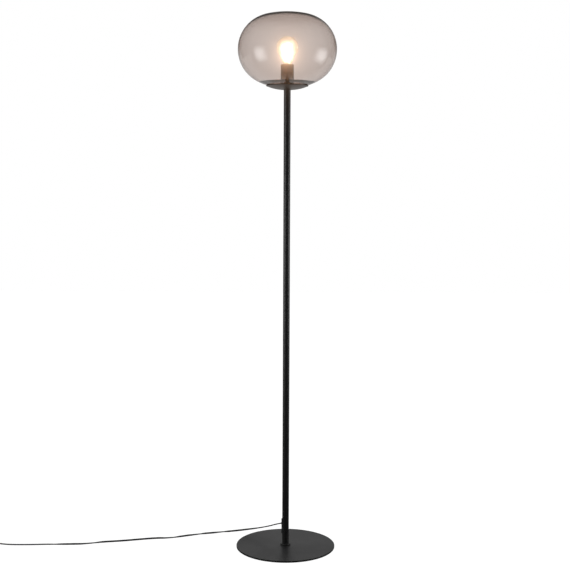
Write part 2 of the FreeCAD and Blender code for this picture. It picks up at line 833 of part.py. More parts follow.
def make_globe():
    opening = globe_opening_diameter / 2 + globe_wall / 2
    outer = globe_arcs(0, opening)
    inner = globe_arcs(globe_wall, opening)
    low = end_points(outer[0])[0]
    high = end_points(inner[0])[0]
    middle = (low + high) / 2 - vec((high - low).Length / 2, 0, 0)
    lip = Part.Arc(low, middle, high).toShape()
    top = line(end_points(outer[2])[1], end_points(inner[2])[1])
    part("globe_glass", revolve(outer + inner + [lip, top]))


# ---- bulb ----

def envelope_section(inward):
    """Half section of the pear-shaped bulb: neck, blend and ball."""
    ball = bulb_diameter / 2 - inward
    centre = bulb_top - bulb_diameter / 2
    neck = neck_radius - inward
    neck_bottom = cap_top - bulb_neck_length
    neck_top = cap_top + bulb_neck_rise
    # the blend arc bulges inwards and touches both the neck line and the ball
    rise = centre - neck_top
    blend = (rise ** 2 + neck ** 2 - ball ** 2) / (2 * (ball - neck))
    blend_r = neck + blend
    turn = math.degrees(math.atan2(neck_top - centre, blend_r))
    return [line(vec(neck, 0, neck_bottom), vec(neck, 0, neck_top)),
            arc_about(blend_r, neck_top, blend, 180, 180 + turn),
            arc_about(0, centre, ball, turn, 90)]


def make_bulb():
    outer = envelope_section(0)
    inner = envelope_section(bulb_wall)
    foot = line(end_points(outer[0])[0], end_points(inner[0])[0])
    top = line(end_points(outer[2])[1], end_points(inner[2])[1])
    part("bulb_envelope", revolve(outer + inner + [foot, top]))

    cap_radius = bulb_cap_diameter / 2
    part("bulb_cap", ring(cap_radius, cap_radius - bulb_cap_wall, cap_bottom, cap_top))
    insulator_bottom = cap_bottom - bulb_insulator_height
    tip = bulb_tip_diameter / 2
    wide = cap_radius - bulb_cap_wall
    part("bulb_insulator", cone(tip + bulb_insulator_step, wide, insulator_bottom, cap_bottom))
    part("bulb_tip", cylinder(tip, bulb_bottom, insulator_bottom))

    stem_bottom = cap_top - bulb_neck_length
    stem_waist = stem_bottom + bulb_stem_foot
    stem_top = stem_bottom + bulb_stem_length
    waist = bulb_stem_diameter / 2
    tip = bulb_stem_tip_diameter / 2
    stem = cone(neck_radius - bulb_wall - fit_clearance, waist, stem_bottom, stem_waist)
    rod = cone(waist, tip, stem_waist, stem_top)
    part("bulb_stem", stem.fuse(rod).removeSplitter())

    low = cap_top + filament_rise
    high = low + filament_length
    wire_low = low - bulb_wire_drop
    stem_there = waist + (tip - waist) * (wire_low - stem_waist) / (stem_top - stem_waist)
    wire = bulb_wire_diameter / 2
    foot = vec(filament_spread / 2, 0, low)
    head = vec((filament_spread - filament_lean) / 2, 0, high)
    wire_foot = vec(stem_there + wire + fit_clearance, 0, wire_low)
    rod = Part.makeCylinder(filament_diameter / 2, filament_length, foot, head - foot)
    support = Part.makeCylinder(wire, (foot - wire_foot).Length, wire_foot, foot - wire_foot)
    spoke_height = high + wire
    spoke = Part.makeCylinder(wire, head.x, vec(0, 0, spoke_height), OUT)
    turns = [360 / filament_count * k + 45 for k in range(filament_count)]
    part("bulb_filaments", *[turned(rod, turn) for turn in turns])
    frame = cylinder(wire, stem_top, spoke_height).fuse([turned(spoke, turn) for turn in turns])
    part("bulb_wires", frame.removeSplitter(), *[turned(support.cut(rod), turn) for turn in turns])


# ---- foot switch, modelled about its own middle and moved to its place ----

def place_switch(name, *solids):
    part(name, *[moved(solid, switch_place) for solid in solids])


def make_switch_casing():
    inner_length = switch_length - 2 * switch_wall
    inner_width = switch_width - 2 * switch_wall
    bottom = slot_prism(switch_length, switch_width, 0, switch_split)
    bottom = bottom.cut(slot_prism(inner_length, inner_width, switch_wall, switch_split + overcut))
    noses = []
    bores = []
    for side in (-1, 1):
        axis = vec(side, 0, 0)
        wall_middle = vec(side * (switch_length - switch_wall) / 2, 0, switch_cord_height)
        nose_length = switch_wall / 2 + switch_nose_length
        noses.append(Part.makeCylinder(switch_nose_diameter / 2, nose_length, wall_middle, axis))
        bores.append(Part.makeCylinder(cord_radius + fit_clearance, nose_length + 2 * switch_wall,
                                       wall_middle - axis * switch_wall, axis))
    pivot = cylinder(pivot_diameter / 2, switch_wall, carrier_bottom)
    stop = cylinder(rotor_stop_diameter / 2, switch_wall, rotor_bottom - seat_gap)
    boss = switch_screw_head_diameter / 2 + screw_boss_wall
    bosses = [cylinder(boss, switch_wall, switch_split, x, y) for x, y in screw_places]
    posts = [cylinder(carrier_post_diameter / 2, switch_wall, carrier_bottom, x, y)
             for x in (-carrier_post_x, carrier_post_x) for y in (-carrier_post_y, carrier_post_y)]
    bottom = bottom.fuse(noses + [pivot, stop] + bosses + posts).removeSplitter().cut(bores)
    screw_clear = switch_screw_diameter / 2 + fit_clearance
    head_clear = switch_screw_head_diameter / 2 + fit_clearance
    for x, y in screw_places:
        bottom = bottom.cut(cylinder(screw_clear, -overcut, switch_split + overcut, x, y))
        bottom = bottom.cut(cylinder(head_clear, -overcut, screw_seat, x, y))
    place_switch("switch_bottom", bottom)

    cover = slot_prism(switch_length, switch_width, switch_split, switch_height)
    cover = cover.makeFillet(switch_edge_radius, edges_at(cover, switch_height))
    inside = slot_prism(inner_length, inner_width, switch_split - overcut, cover_ceiling)
    inside = inside.makeFillet(switch_edge_radius - switch_wall, edges_at(inside, cover_ceiling))
    pillars = [cylinder(screw_pillar_diameter / 2, switch_split, cover_ceiling + switch_wall / 2, x, y)
               for x, y in screw_places]
    cover = cover.cut(inside).fuse(pillars).removeSplitter()
    cover = cover.cut(cylinder(button_diameter / 2 + seat_gap, switch_split, switch_height + overcut))
    thread_end = switch_split + switch_screw_bite + switch_screw_end_room
    for x, y in screw_places:
        cover = cover.cut(cylinder(screw_clear, switch_split - overcut, thread_end, x, y))
    place_switch("switch_cover", cover)

    screws = []
    for x, y in screw_places:
        head = cylinder(switch_screw_head_diameter / 2, switch_screw_sink, screw_seat, x, y)
        shank = cylinder(switch_screw_diameter / 2, screw_seat, switch_split + switch_screw_bite, x, y)
        screws.append(head.fuse(shank).removeSplitter())
    place_switch("switch_screws", *screws)


def make_switch_button():
    button_top = switch_height + button_proud
    button = cylinder(button_diameter / 2, flange_bottom, button_top)
    button = button.makeFillet(button_edge_radius, edges_at(button, button_top))
    flange = cylinder(button_flange_diameter / 2, flange_bottom, flange_top)
    plunger = cylinder(plunger_diameter / 2, plunger_bottom, flange_bottom + overcut)
    button = button.fuse([flange, plunger]).removeSplitter()
    bore = cylinder(plunger_bore / 2, plunger_bottom - overcut, flange_bottom)
    place_switch("switch_button", button.cut(bore))

    low = carrier_top + spring_wire / 2
    high = flange_bottom - spring_wire / 2 - fit_clearance
    radius = (spring_diameter - spring_wire) / 2

    def helix(turn):
        angle = 2 * math.pi * turn
        height = low + (high - low) * turn / spring_turns
        return vec(radius * math.cos(angle), radius * math.sin(angle), height)

    wire = wound_wire(helix, spring_turns, 4 * spring_turns, 0, 0)
    gap = least_gap(wire, spring_wire, 1.4 * math.pi * radius)
    print(f"switch_spring: length {wire.Length:.1f}, least gap {gap:.2f}")
    place_switch("switch_spring", swept(wire, spring_wire / 2))


def make_switch_works():
    rotor_top = rotor_bottom + rotor_height
    half = rotor_lobe_width / 2
    rotor = cylinder(rotor_diameter / 2, rotor_bottom, rotor_top)
    lobe = box(0, rotor_lobe_reach, -half, half, rotor_bottom, rotor_top)
    rotor = rotor.fuse([turned(lobe, 360 / rotor_lobe_count * k + 45) for k in range(rotor_lobe_count)])
    hole = cylinder(pivot_diameter / 2 + running_clearance, 0, switch_height)
    place_switch("switch_rotor", rotor.removeSplitter().cut(hole))

    carrier = ring(carrier_diameter / 2, plunger_diameter / 2 + seat_gap, carrier_bottom, carrier_top)
    place_switch("switch_carrier", carrier)

    half = blade_length / 2
    near = rotor_lobe_reach + blade_gap
    blade = box(-half, half, near, near + blade_thickness, switch_wall, switch_wall + blade_height)
    place_switch("switch_contacts", blade, turned(blade, 180))

    nose_tip = switch_length / 2 + switch_nose_length
    cord_end = switch_wall + switch_nose_length + cord_end_inside
    end = Part.makeCylinder(cord_radius, cord_end, vec(-nose_tip, 0, switch_cord_height), OUT)
    place_switch("switch_cord_ends", end, turned(end, 180))
    return nose_tip


# ---- coil and plug ----

def coil_position(turn):
    """Middle of the cord on the coil: in on the lower layer, a climbing half turn, out on the upper."""
    turn_back = coil_layer_turns + 0.5
    inner_radius = coil_outer_radius - coil_pitch * coil_layer_turns
    low = coil_lift + cord_radius
    if turn <= coil_layer_turns:
        radius = coil_outer_radius - coil_pitch * turn
        height = low
    elif turn <= turn_back:
        radius = inner_radius
        height = low + coil_layer_rise * (turn - coil_layer_turns) / 0.5
    else:
        radius = inner_radius + coil_pitch * (turn - turn_back)
        height = low + coil_layer_rise
    angle = math.radians(90 + 360 * turn)
    return coil_place + vec(radius * math.cos(angle), radius * math.sin(angle), height)


def make_coil():
    turns = 2 * coil_layer_turns + 0.5
    wire = wound_wire(coil_position, turns, round(4 * turns), cord_diameter, cord_diameter)
    gap = least_gap(wire, cord_diameter, math.pi * coil_outer_radius)
    tube = swept(wire, cord_radius)
    expected = math.pi * cord_radius ** 2 * wire.Length
    print(f"cord_coil: length {wire.Length:.1f}, turns {turns}, least gap {gap:.2f}, "
          f"volume over section times length {tube.Volume / expected:.4f}")
    part("cord_coil", tube)

    inner = coil_outer_radius - coil_pitch * coil_layer_turns - cord_radius - seat_gap
    outer = coil_outer_radius + cord_radius + seat_gap
    low = coil_lift - seat_gap
    high = coil_lift + cord_diameter + coil_layer_rise + seat_gap
    half = tie_width / 2
    hole = box(-half - overcut, half + overcut, -outer, -inner, low, high)
    band = box(-half, half, -outer - tie_thickness, -inner + tie_thickness,
               low - tie_thickness, high + tie_thickness)
    part("coil_tie", moved(band.cut(hole), coil_place))
    edges = wire.Edges
    start = edges[0].valueAt(edges[0].FirstParameter)
    start_heading = edges[0].tangentAt(edges[0].FirstParameter)
    end = edges[-1].valueAt(edges[-1].LastParameter)
    end_heading = edges[-1].tangentAt(edges[-1].LastParameter)
    return start, start_heading, end, end_heading


def make_plug(tail_start):
    """The plug lies flat, its pins pointing on along the tail."""
    height = plug_thickness / 2
    rear = vec(tail_start.x - plug_run, tail_start.y + plug_side_shift, height)
    body_rear = plug_boot_length
    half = plug_width / 2
    rear_half = plug_rear_width / 2
    shoulder = body_rear + plug_shoulder_length
    front = body_rear + plug_length
    outline = [(body_rear, -rear_half), (shoulder, -half), (front, -half), (front, half), (shoulder, half),
               (body_rear, rear_half)]
    points = [vec(x, y, 0) for x, y in outline + outline[:1]]
    body = Part.Face(Part.makePolygon(points)).extrude(vec(0, 0, plug_thickness))
    body = body.makeFillet(plug_edge_radius, body.Edges)
    boot = Part.makeCone(plug_boot_diameter / 2, plug_boot_end_diameter / 2,
                         plug_boot_length + plug_boot_root, vec(0, 0, height), OUT)
    body = body.fuse(boot).removeSplitter()
    pins = []
    for side in (-1, 1):
        start = vec(front, side * pin_spacing / 2, height)
        pin = Part.makeCylinder(pin_diameter / 2, pin_length, start, OUT)
        tip = [edge for edge in pin.Edges if edge.BoundBox.XMin > front + pin_length - same_place]
        root = Part.makeCylinder(pin_root_diameter / 2, pin_root_length, start - OUT * pin_root_length, OUT)
        body = body.cut(root)
        pins.append(pin.makeFillet(pin_tip_radius, tip).fuse(root).removeSplitter())
    placed = [moved(turned(shape, 180), vec(rear.x, rear.y, 0)) for shape in [body] + pins]
    part("plug_body", placed[0])
    part("plug_pins", *placed[1:])
    return rear


def make_cords(outlet_tip, outlet_heading, nose_tip):
    along = vec(-1, 0, 0)
    switch_in = switch_place + vec(nose_tip, 0, switch_cord_height)
    switch_out = switch_place + vec(-nose_tip, 0, switch_cord_height)
    start = [outlet_tip, outlet_tip + outlet_heading * cord_exit_run]
    middle = [vec(*point) for point in main_route]
    cord("mains_cord", start + middle + [switch_in - along * cord_exit_run, switch_in])
    coil_in, coil_heading, coil_out, tail_heading = make_coil()
    towards_coil = [switch_out, switch_out + along * short_run, coil_in - coil_heading * short_run, coil_in]
    cord("switch_cord", towards_coil)
    plug_rear = make_plug(coil_out)
    towards_plug = [coil_out, coil_out + tail_heading * short_run, plug_rear - along * short_run, plug_rear]
    cord("plug_cord", towards_plug)


make_base()
make_pole()
outlet_tip, outlet_heading = make_outlet()
make_dish()
make_stack()
make_lampholder()
make_globe()
make_bulb()
make_switch_casing()
make_switch_button()
switch_nose_tip = make_switch_works()
make_cords(outlet_tip, outlet_heading, switch_nose_tip)
print(f"pieces {len(parts_made)}, height {total_height:.2f}, pole top {pole_top:.2f}, "
      f"bulb {bulb_bottom:.2f} to {bulb_top:.2f}, sleeve top {sleeve_top:.2f}, "
      f"gasket {gasket_height:.2f}, equator {globe_equator:.2f}")
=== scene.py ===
import math

import bmesh
import bpy
from mathutils import Matrix, Vector


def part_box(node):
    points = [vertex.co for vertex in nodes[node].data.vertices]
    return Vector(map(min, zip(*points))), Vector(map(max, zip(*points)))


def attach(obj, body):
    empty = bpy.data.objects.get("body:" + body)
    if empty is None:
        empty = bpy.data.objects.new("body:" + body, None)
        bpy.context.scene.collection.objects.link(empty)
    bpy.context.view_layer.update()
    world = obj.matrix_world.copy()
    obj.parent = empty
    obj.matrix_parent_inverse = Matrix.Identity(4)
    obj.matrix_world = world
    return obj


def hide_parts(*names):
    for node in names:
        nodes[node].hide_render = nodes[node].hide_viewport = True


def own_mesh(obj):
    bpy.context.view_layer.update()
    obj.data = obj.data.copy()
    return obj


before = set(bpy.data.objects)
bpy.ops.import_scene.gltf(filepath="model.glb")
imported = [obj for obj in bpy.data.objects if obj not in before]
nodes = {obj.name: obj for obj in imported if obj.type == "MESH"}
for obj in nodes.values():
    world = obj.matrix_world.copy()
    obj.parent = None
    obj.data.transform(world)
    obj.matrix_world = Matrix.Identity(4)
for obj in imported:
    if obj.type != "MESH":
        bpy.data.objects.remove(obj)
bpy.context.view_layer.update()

# A floor lamp: a smoked glass globe on a slim black pole with a round steel foot.
# Metres, +Z up, the photographed front faces -Y.

up = Vector((0, 0, 1))


# Camera, at the photograph's place and angle

view = {"place": (-0.00407, -3.0521, 1.0485), "dip": 0.09697, "roll": 0.0039, "lens": 69.23, "sensor": 36.0}


def makeCamera():
    camera = bpy.data.cameras.new("camera")
    camera.lens = view["lens"]
    camera.sensor_width = view["sensor"]
    holder = bpy.data.objects.new("camera", camera)
    bpy.context.scene.collection.objects.link(holder)
    turn = Matrix.Rotation(math.pi / 2 - view["dip"], 4, "X") @ Matrix.Rotation(view["roll"], 4, "Z")
    holder.matrix_world = Matrix.Translation(view["place"]) @ turn
    bpy.context.scene.camera = holder


# Helpers for pieces

def link(name, mesh):
    piece = bpy.data.objects.new(name, mesh)
    bpy.context.scene.collection.objects.link(piece)
    return piece


def only(piece):                                  # the one selected, active object
    bpy.ops.object.select_all(action="DESELECT")
    piece.select_set(True)
    bpy.context.view_layer.objects.active = piece
    return piece


def apply(piece, kind, **settings):               # adds a modifier and applies it
    modifier = only(piece).modifiers.new(kind.lower(), kind)
    for name, value in settings.items():
        setattr(modifier, name, value)
    bpy.ops.object.modifier_apply(modifier=modifier.name)


def smooth(piece, degrees=35):
    only(piece)
    bpy.ops.object.shade_smooth_by_angle(angle=math.radians(degrees))


def tidyMesh(piece, gap=1e-6):                    # merges doubles, turns the faces outwards
    only(piece)
    bpy.ops.object.mode_set(mode="EDIT")
    bpy.ops.mesh.select_all(action="SELECT")
    bpy.ops.mesh.remove_doubles(threshold=gap)
    bpy.ops.mesh.normals_make_consistent(inside=False)
    bpy.ops.object.mode_set(mode="OBJECT")


def joined(pieces):                               # the first one takes in the others
    only(pieces[0])
    for piece in pieces[1:]:
        piece.select_set(True)
    bpy.ops.object.join()
    return bpy.context.active_object


def place(piece, slot, instead=(), body="stand"):         # its body, and the nodes it hides in its stead
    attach(piece, body)
    if instead:
        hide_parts(*instead)
    return piece


def drawLine(name, points):                       # one vertex, extruded from point to point
    bpy.ops.object.select_all(action="DESELECT")
    bpy.ops.mesh.primitive_plane_add(size=0.001, location=(0, 0, 0))
    piece = bpy.context.active_object
    piece.name = name
    bpy.ops.object.mode_set(mode="EDIT")
    bpy.ops.mesh.merge(type="CENTER")
    bpy.ops.transform.translate(value=points[0])
    for here, there in zip(points, points[1:]):
        bpy.ops.mesh.extrude_region_move(TRANSFORM_OT_translate={"value": Vector(there) - Vector(here)})
    return piece                                  # still in edit mode


def spinLine(name, section, steps, centre=(0, 0, 0), axis=(0, 0, 1)):
    piece = drawLine(name, section)
    bpy.ops.mesh.select_all(action="SELECT")
    bpy.ops.mesh.spin(steps=steps, angle=2 * math.pi, center=centre, axis=axis)
    bpy.ops.object.mode_set(mode="OBJECT")
    tidyMesh(piece)
    return piece


def arc(centreR, centreZ, radius, start, end, count):      # points (r, 0, z), angles in degrees
    points = []
    for k in range(count + 1):
        angle = math.radians(start + (end - start) * k / count)
        points.append(Vector((centreR + radius * math.cos(angle), 0, centreZ + radius * math.sin(angle))))
    return points


# Cords

def splineLine(name, points, fineness):           # points along the route's smooth curve
    curve = bpy.data.curves.new(name, "CURVE")
    curve.dimensions = "3D"
    curve.resolution_u = fineness
    spline = curve.splines.new("NURBS")
    spline.points.add(len(points) - 1)
    for control, point in zip(spline.points, points):
        control.co = (*point, 1)
    spline.order_u = 3
    spline.use_endpoint_u = True
    holder = link(name, curve)
    line = [vertex.co.copy() for vertex in bpy.data.meshes.new_from_object(holder).vertices]
    bpy.data.objects.remove(holder)
    return line


def lengthOf(line):
    return sum((there - here).length for here, there in zip(line, line[1:]))


def headings(line):
    before = [line[0]] + line[:-1]
    after = line[1:] + [line[-1]]
    return [(there - here).normalized() for here, there in zip(before, after)]


def ringRound(middle, heading, radius, sides, aside):     # a circle square to the heading
    across = heading.cross(Vector(aside)).normalized()
    above = across.cross(heading)
    ring = []
    for side in range(sides):
        angle = 2 * math.pi * side / sides
        ring.append(middle + (across * math.cos(angle) + above * math.sin(angle)) * radius)
    return ring


def skin(name, rings, endless=False):             # a closed tube through rings of points
    shape = bmesh.new()
    loops = [[shape.verts.new(point) for point in ring] for ring in rings]
    count = len(loops[0])
    ahead = loops[1:] + (loops[:1] if endless else [])
    for here, there in zip(loops, ahead):
        for k in range(count):
            shape.faces.new((here[k], here[(k + 1) % count], there[(k + 1) % count], there[k]))
    if not endless:
        shape.faces.new(list(reversed(loops[0])))
        shape.faces.new(loops[-1])
    bmesh.ops.recalc_face_normals(shape, faces=shape.faces)
    mesh = bpy.data.meshes.new(name)
    shape.to_mesh(mesh)
    shape.free()
    return link(name, mesh)


lead = {"width": 0.0052, "thickness": 0.0032, "sides": 14, "fineness": 10}


def flatSection():                                # the sheath's outline: two half rounds
    radius = lead["thickness"] / 2
    shift = lead["width"] / 2 - radius
    half = lead["sides"] // 2
    outline = []
    for side in (1, -1):
        for k in range(half):
            angle = math.pi * (k / (half - 1) - 0.5)
            outline.append((side * (shift + radius * math.cos(angle)), side * radius * math.sin(angle)))
    return outline


def flatLead(name, line, twists):                 # twists: quarter turns of the flat at each point
    outline = flatSection()
    half = lead["thickness"] / 2
    spread = lead["width"] / 2 - half
    rings = []
    for point, heading, quarters in zip(line, headings(line), twists):
        turn = quarters * math.pi / 2
        across = heading.cross(up).normalized()
        above = across.cross(heading)
        lowest = half + spread * abs(math.sin(turn))
        middle = Vector((point.x, point.y, max(point.z, lowest)))
        wide = across * math.cos(turn) + above * math.sin(turn)
        thin = above * math.cos(turn) - across * math.sin(turn)
        rings.append([middle + wide * a + thin * b for a, b in outline])
    piece = skin(name, rings)
    smooth(piece, 60)
    return piece


def eased(stations, at):                          # smooth steps between (place, value) stations
    if at >= stations[0][0]:
        return stations[0][1]
    for (a, low), (b, high) in zip(stations, stations[1:]):
        if at >= b:
            share = (a - at) / (a - b)
            return low + (high - low) * share * share * (3 - 2 * share)
    return stations[-1][1]


# The route from the outlet to the foot switch: the same points as in the part, in metres
mainRoute = [
    (-0.010571, 0.008870, 0.0650), (-0.02368, 0.01987, 0.05944),
    (-0.0450, 0.0390, 0.0472), (-0.0760, 0.0660, 0.0324), (-0.1120, 0.0910, 0.0196),
    (-0.1510, 0.1070, 0.0096), (-0.1900, 0.1135, 0.0040), (-0.2310, 0.1065, 0.0021),
    (-0.2680, 0.0945, 0.0021), (-0.3035, 0.0765, 0.0021), (-0.3390, 0.0635, 0.0021),
    (-0.3780, 0.0600, 0.0021), (-0.4240, 0.0485, 0.0021), (-0.4735, 0.0342, 0.0021),
    (-0.5240, 0.0255, 0.0021), (-0.5580, 0.0145, 0.0021), (-0.5920, 0.0060, 0.0021),
    (-0.6360, 0.0032, 0.0021), (-0.6800, 0.0036, 0.0021), (-0.7220, 0.0000, 0.0021),
    (-0.7680, -0.0015, 0.0021), (-0.8060, 0.0015, 0.0021),
    (-0.8440, 0.0040, 0.0070), (-0.8620, 0.0040, 0.0070),
]

# Where the flat sheath lies (even quarter turns) or stands on its edge (odd), along X
mainTwist = [
    (-0.060, 0), (-0.159, 1), (-0.194, 2), (-0.228, 3), (-0.262, 4), (-0.297, 5), (-0.339, 6),
    (-0.382, 7), (-0.520, 7), (-0.562, 8), (-0.622, 9), (-0.679, 10),
]

tailRoute = [
    (-0.9500, 0.0040, 0.0070), (-0.9660, 0.0040, 0.0070),
    (-0.9860, 0.0040, 0.0042), (-1.0018, 0.0040, 0.0020),
]
plugRoute = [
    (-1.0422, 0.0041, 0.0052), (-1.0600, 0.0050, 0.0060),
    (-1.0762, 0.0061, 0.00685), (-1.0922, 0.0061, 0.00685),
]
coil = {
    "x": -1.022, "y": -0.029, "radius": 0.033, "pitch": 0.0056, "layerTurns": 2.75, "turnSteps": 16,
    "lower": 0.0017, "rise": 0.0034, "riseTurn": 0.5, "tieLift": 0.0010, "tieReach": 0.16,
}


def coilPoint(turn):                              # in on the lower layer, up, out on the upper
    back = coil["layerTurns"] + coil["riseTurn"]
    inner = coil["radius"] - coil["pitch"] * coil["layerTurns"]
    if turn <= coil["layerTurns"]:
        radius = coil["radius"] - coil["pitch"] * turn
        height = coil["lower"]
    elif turn <= back:
        radius = inner
        height = coil["lower"] + coil["rise"] * (turn - coil["layerTurns"]) / coil["riseTurn"]
    else:
        radius = inner + coil["pitch"] * (turn - back)
        height = coil["lower"] + coil["rise"]
    fromTie = abs((turn % 1) - 0.5)               # the band under the turns lifts them here
    height += coil["tieLift"] * math.exp(-((fromTie / coil["tieReach"]) ** 2))
    radius /= math.cos(math.pi / coil["turnSteps"])       # the curve runs inside its control points
    angle = math.pi / 2 + 2 * math.pi * turn
    return (coil["x"] + radius * math.cos(angle), coil["y"] + radius * math.sin(angle), height)


def coilPoints():
    turns = 2 * coil["layerTurns"] + coil["riseTurn"]
    steps = round(turns * coil["turnSteps"])
    return [coilPoint(turns * k / steps) for k in range(steps + 1)]


def makeMainLead():
    line = splineLine("mainsLead", mainRoute, lead["fineness"])
    piece = flatLead("mains_lead", line, [eased(mainTwist, point.x) for point in line])
    place(piece, slot="cord_pvc", instead=["mains_cord"])
    return piece, line


def makeTailLead():
    line = splineLine("tailLead", tailRoute + coilPoints() + plugRoute, lead["fineness"] // 2)
    piece = flatLead("tail_lead", line, [0] * len(line))
    place(piece, slot="cord_pvc", instead=["switch_cord", "cord_coil", "plug_cord"])
    return piece, line


makeCamera()
mainLead, mainLine = makeMainLead()
tailLead, tailLine = makeTailLead()
print("camera and cords:", round(lengthOf(mainLine), 4), round(lengthOf(tailLine), 4), "m of cord")


# Finishes

class Value:                                      # a shader output that sums can be written with
    def __init__(self, finish, socket):
        self.finish = finish
        self.socket = socket

    def math(self, operation, *terms):
        return self.finish.node("ShaderNodeMath", {"operation": operation}, dict(enumerate(terms)))

    def __add__(self, other):
        return self.math("ADD", self, other)

    def __sub__(self, other):
        return self.math("SUBTRACT", self, other)

    def __rsub__(self, other):
        return self.math("SUBTRACT", other, self)

    def __mul__(self, other):
        return self.math("MULTIPLY", self, other)

    def __gt__(self, other):
        return self.math("GREATER_THAN", self, other)

    def __or__(self, other):
        return self.math("MAXIMUM", self, other)

    def __abs__(self):
        return self.math("ABSOLUTE", self)

    __radd__ = __add__
    __rmul__ = __mul__


class Finish:                                     # one material, or the world, and its nodes
    def __init__(self, name, world=None):
        self.holder = world or bpy.data.materials.new(name)
        self.holder.use_nodes = True
        self.tree = self.holder.node_tree
        self.tree.nodes.clear()
        self.output = self.tree.nodes.new("ShaderNodeOutputWorld" if world else "ShaderNodeOutputMaterial")

    def node(self, kind, settings=None, inputs=None, output=0):
        made = self.tree.nodes.new(kind)
        for name, value in (settings or {}).items():
            if name == "stops":
                self.setStops(made.color_ramp, value)
            else:
                setattr(made, name, value)
        for name, value in (inputs or {}).items():
            if isinstance(value, Value):
                self.tree.links.new(value.socket, made.inputs[name])
            else:
                made.inputs[name].default_value = value
        return Value(self, made.outputs[output])

    def setStops(self, ramp, stops):
        while len(ramp.elements) < len(stops):
            ramp.elements.new(0.5)
        for element, (place, colour) in zip(ramp.elements, stops):
            element.position = place
            element.color = (*colour, 1) if len(colour) == 3 else colour

    def show(self, shader, socket="Surface"):
        self.tree.links.new(shader.socket, self.output.inputs[socket])
        return self.holder

    def here(self, stretch=(1, 1, 1)):            # object coordinates
        place = self.node("ShaderNodeTexCoord", output="Object")
        return self.node("ShaderNodeMapping", {}, {"Vector": place, "Scale": stretch})

    def part(self, vector, axis):
        return self.node("ShaderNodeSeparateXYZ", {}, {"Vector": vector}, axis)

    def noise(self, scale, detail=2.0, rough=0.5, stretch=(1, 1, 1)):
        return self.node("ShaderNodeTexNoise", {}, {"Vector": self.here(stretch=stretch), "Scale": scale,
                                                    "Detail": detail, "Roughness": rough})

    def cells(self, scale):
        return self.node("ShaderNodeTexVoronoi", {}, {"Vector": self.here(), "Scale": scale})

    def between(self, value, low, high):          # from low to high over the middle of a noise
        return self.node("ShaderNodeMapRange", {}, {"Value": value, "From Min": 0.3, "From Max": 0.7,
                                                    "To Min": low, "To Max": high})

    def slope(self, value, start, end, low, high):        # eased from low at start to high at end
        return self.node("ShaderNodeMapRange", {"interpolation_type": "SMOOTHSTEP"}, {
            "Value": value, "From Min": start, "From Max": end, "To Min": low, "To Max": high})

    def colours(self, value, *stops):
        return self.node("ShaderNodeValToRGB", {"stops": stops}, {"Fac": value})

    def bump(self, height, depth, strength):
        return self.node("ShaderNodeBump", {}, {"Height": height, "Distance": depth, "Strength": strength})

    def glow(self, strength):                     # white light of its own
        return self.node("ShaderNodeEmission", {}, {"Color": (1, 1, 1, 1), "Strength": strength})

    def inView(self):                             # 1 for what the camera sees, also through glass
        seen = self.node("ShaderNodeLightPath", output="Is Camera Ray")
        through = self.node("ShaderNodeLightPath", output="Is Transmission Ray")
        return seen | through

    def principled(self, **sockets):
        named = {name.replace("_", " "): value for name, value in sockets.items()}
        return self.node("ShaderNodeBsdfPrincipled", {}, named)


def powderCoat():                                 # black satin with a fine orange peel
    finish = Finish("powderCoat")
    patches = finish.noise(9, 3)
    peel = finish.noise(1700, 2, 0.55)
    speckle = finish.noise(5200, 1)
    colour = finish.colours(finish.noise(420, 3), (0.35, (0.0085, 0.0085, 0.0088)),
                            (0.65, (0.0135, 0.0133, 0.0135)))
    rough = finish.between(patches, 0.36, 0.43) + speckle * 0.05
    normal = finish.bump(peel * 0.8 + speckle * 0.2, 0.00006, 0.35)
    return finish.show(finish.principled(Base_Color=colour, Roughness=rough, Normal=normal, IOR=1.5))


def glossLacquer(name, dark, light):              # smooth dark paint
    finish = Finish(name)
    peel = finish.noise(600, 2)
    colour = finish.colours(finish.noise(60, 2), (0.3, dark), (0.7, light))
    rough = finish.between(finish.noise(30, 3), 0.20, 0.27)
    normal = finish.bump(peel, 0.00004, 0.2)
    return finish.show(finish.principled(Base_Color=colour, Roughness=rough, Normal=normal, IOR=1.5))


def metal(name, dark, light, roughLow, roughHigh, stretch):
    finish = Finish(name)
    brushed = finish.noise(300, 4, 0.6, stretch)
    bloom = finish.noise(120, 3)
    colour = finish.colours(bloom * 0.6 + brushed * 0.4, (0.35, dark), (0.65, light))
    rough = finish.between(brushed, roughLow, roughHigh)
    normal = finish.bump(brushed, 0.00003, 0.25)
    return finish.show(finish.principled(Base_Color=colour, Metallic=1.0, Roughness=rough, Normal=normal))


def moulded(name, dark, light, rough=0.42, grain=2600, depth=0.00005):
    finish = Finish(name)
    sparks = finish.cells(grain)
    cloud = finish.noise(90, 3)
    colour = finish.colours(cloud, (0.3, dark), (0.7, light))
    shine = finish.between(cloud, rough - 0.04, rough + 0.05)
    normal = finish.bump(sparks * 0.6 + finish.noise(grain * 0.6, 2) * 0.4, depth, 0.3)
    return finish.show(finish.principled(Base_Color=colour, Roughness=shine, Normal=normal, IOR=1.48))


def softFoam():
    finish = Finish("blackFoam")
    bubbles = finish.cells(1800)
    colour = finish.colours(bubbles, (0.0, (0.008, 0.008, 0.008)), (0.5, (0.022, 0.022, 0.022)))
    normal = finish.bump(bubbles, 0.0002, 0.8)
    return finish.show(finish.principled(Base_Color=colour, Roughness=0.92, Normal=normal))


def glazed():
    finish = Finish("glazedCeramic")
    mottle = finish.noise(180, 4)
    colour = finish.colours(mottle, (0.3, (0.70, 0.68, 0.63)), (0.7, (0.78, 0.76, 0.72)))
    normal = finish.bump(finish.noise(350, 2), 0.00005, 0.2)
    rough = finish.between(mottle, 0.16, 0.24)
    return finish.show(finish.principled(Base_Color=colour, Roughness=rough, Normal=normal))


smoke = {"colour": (0.334, 0.188, 0.114, 1), "density": 180.0}


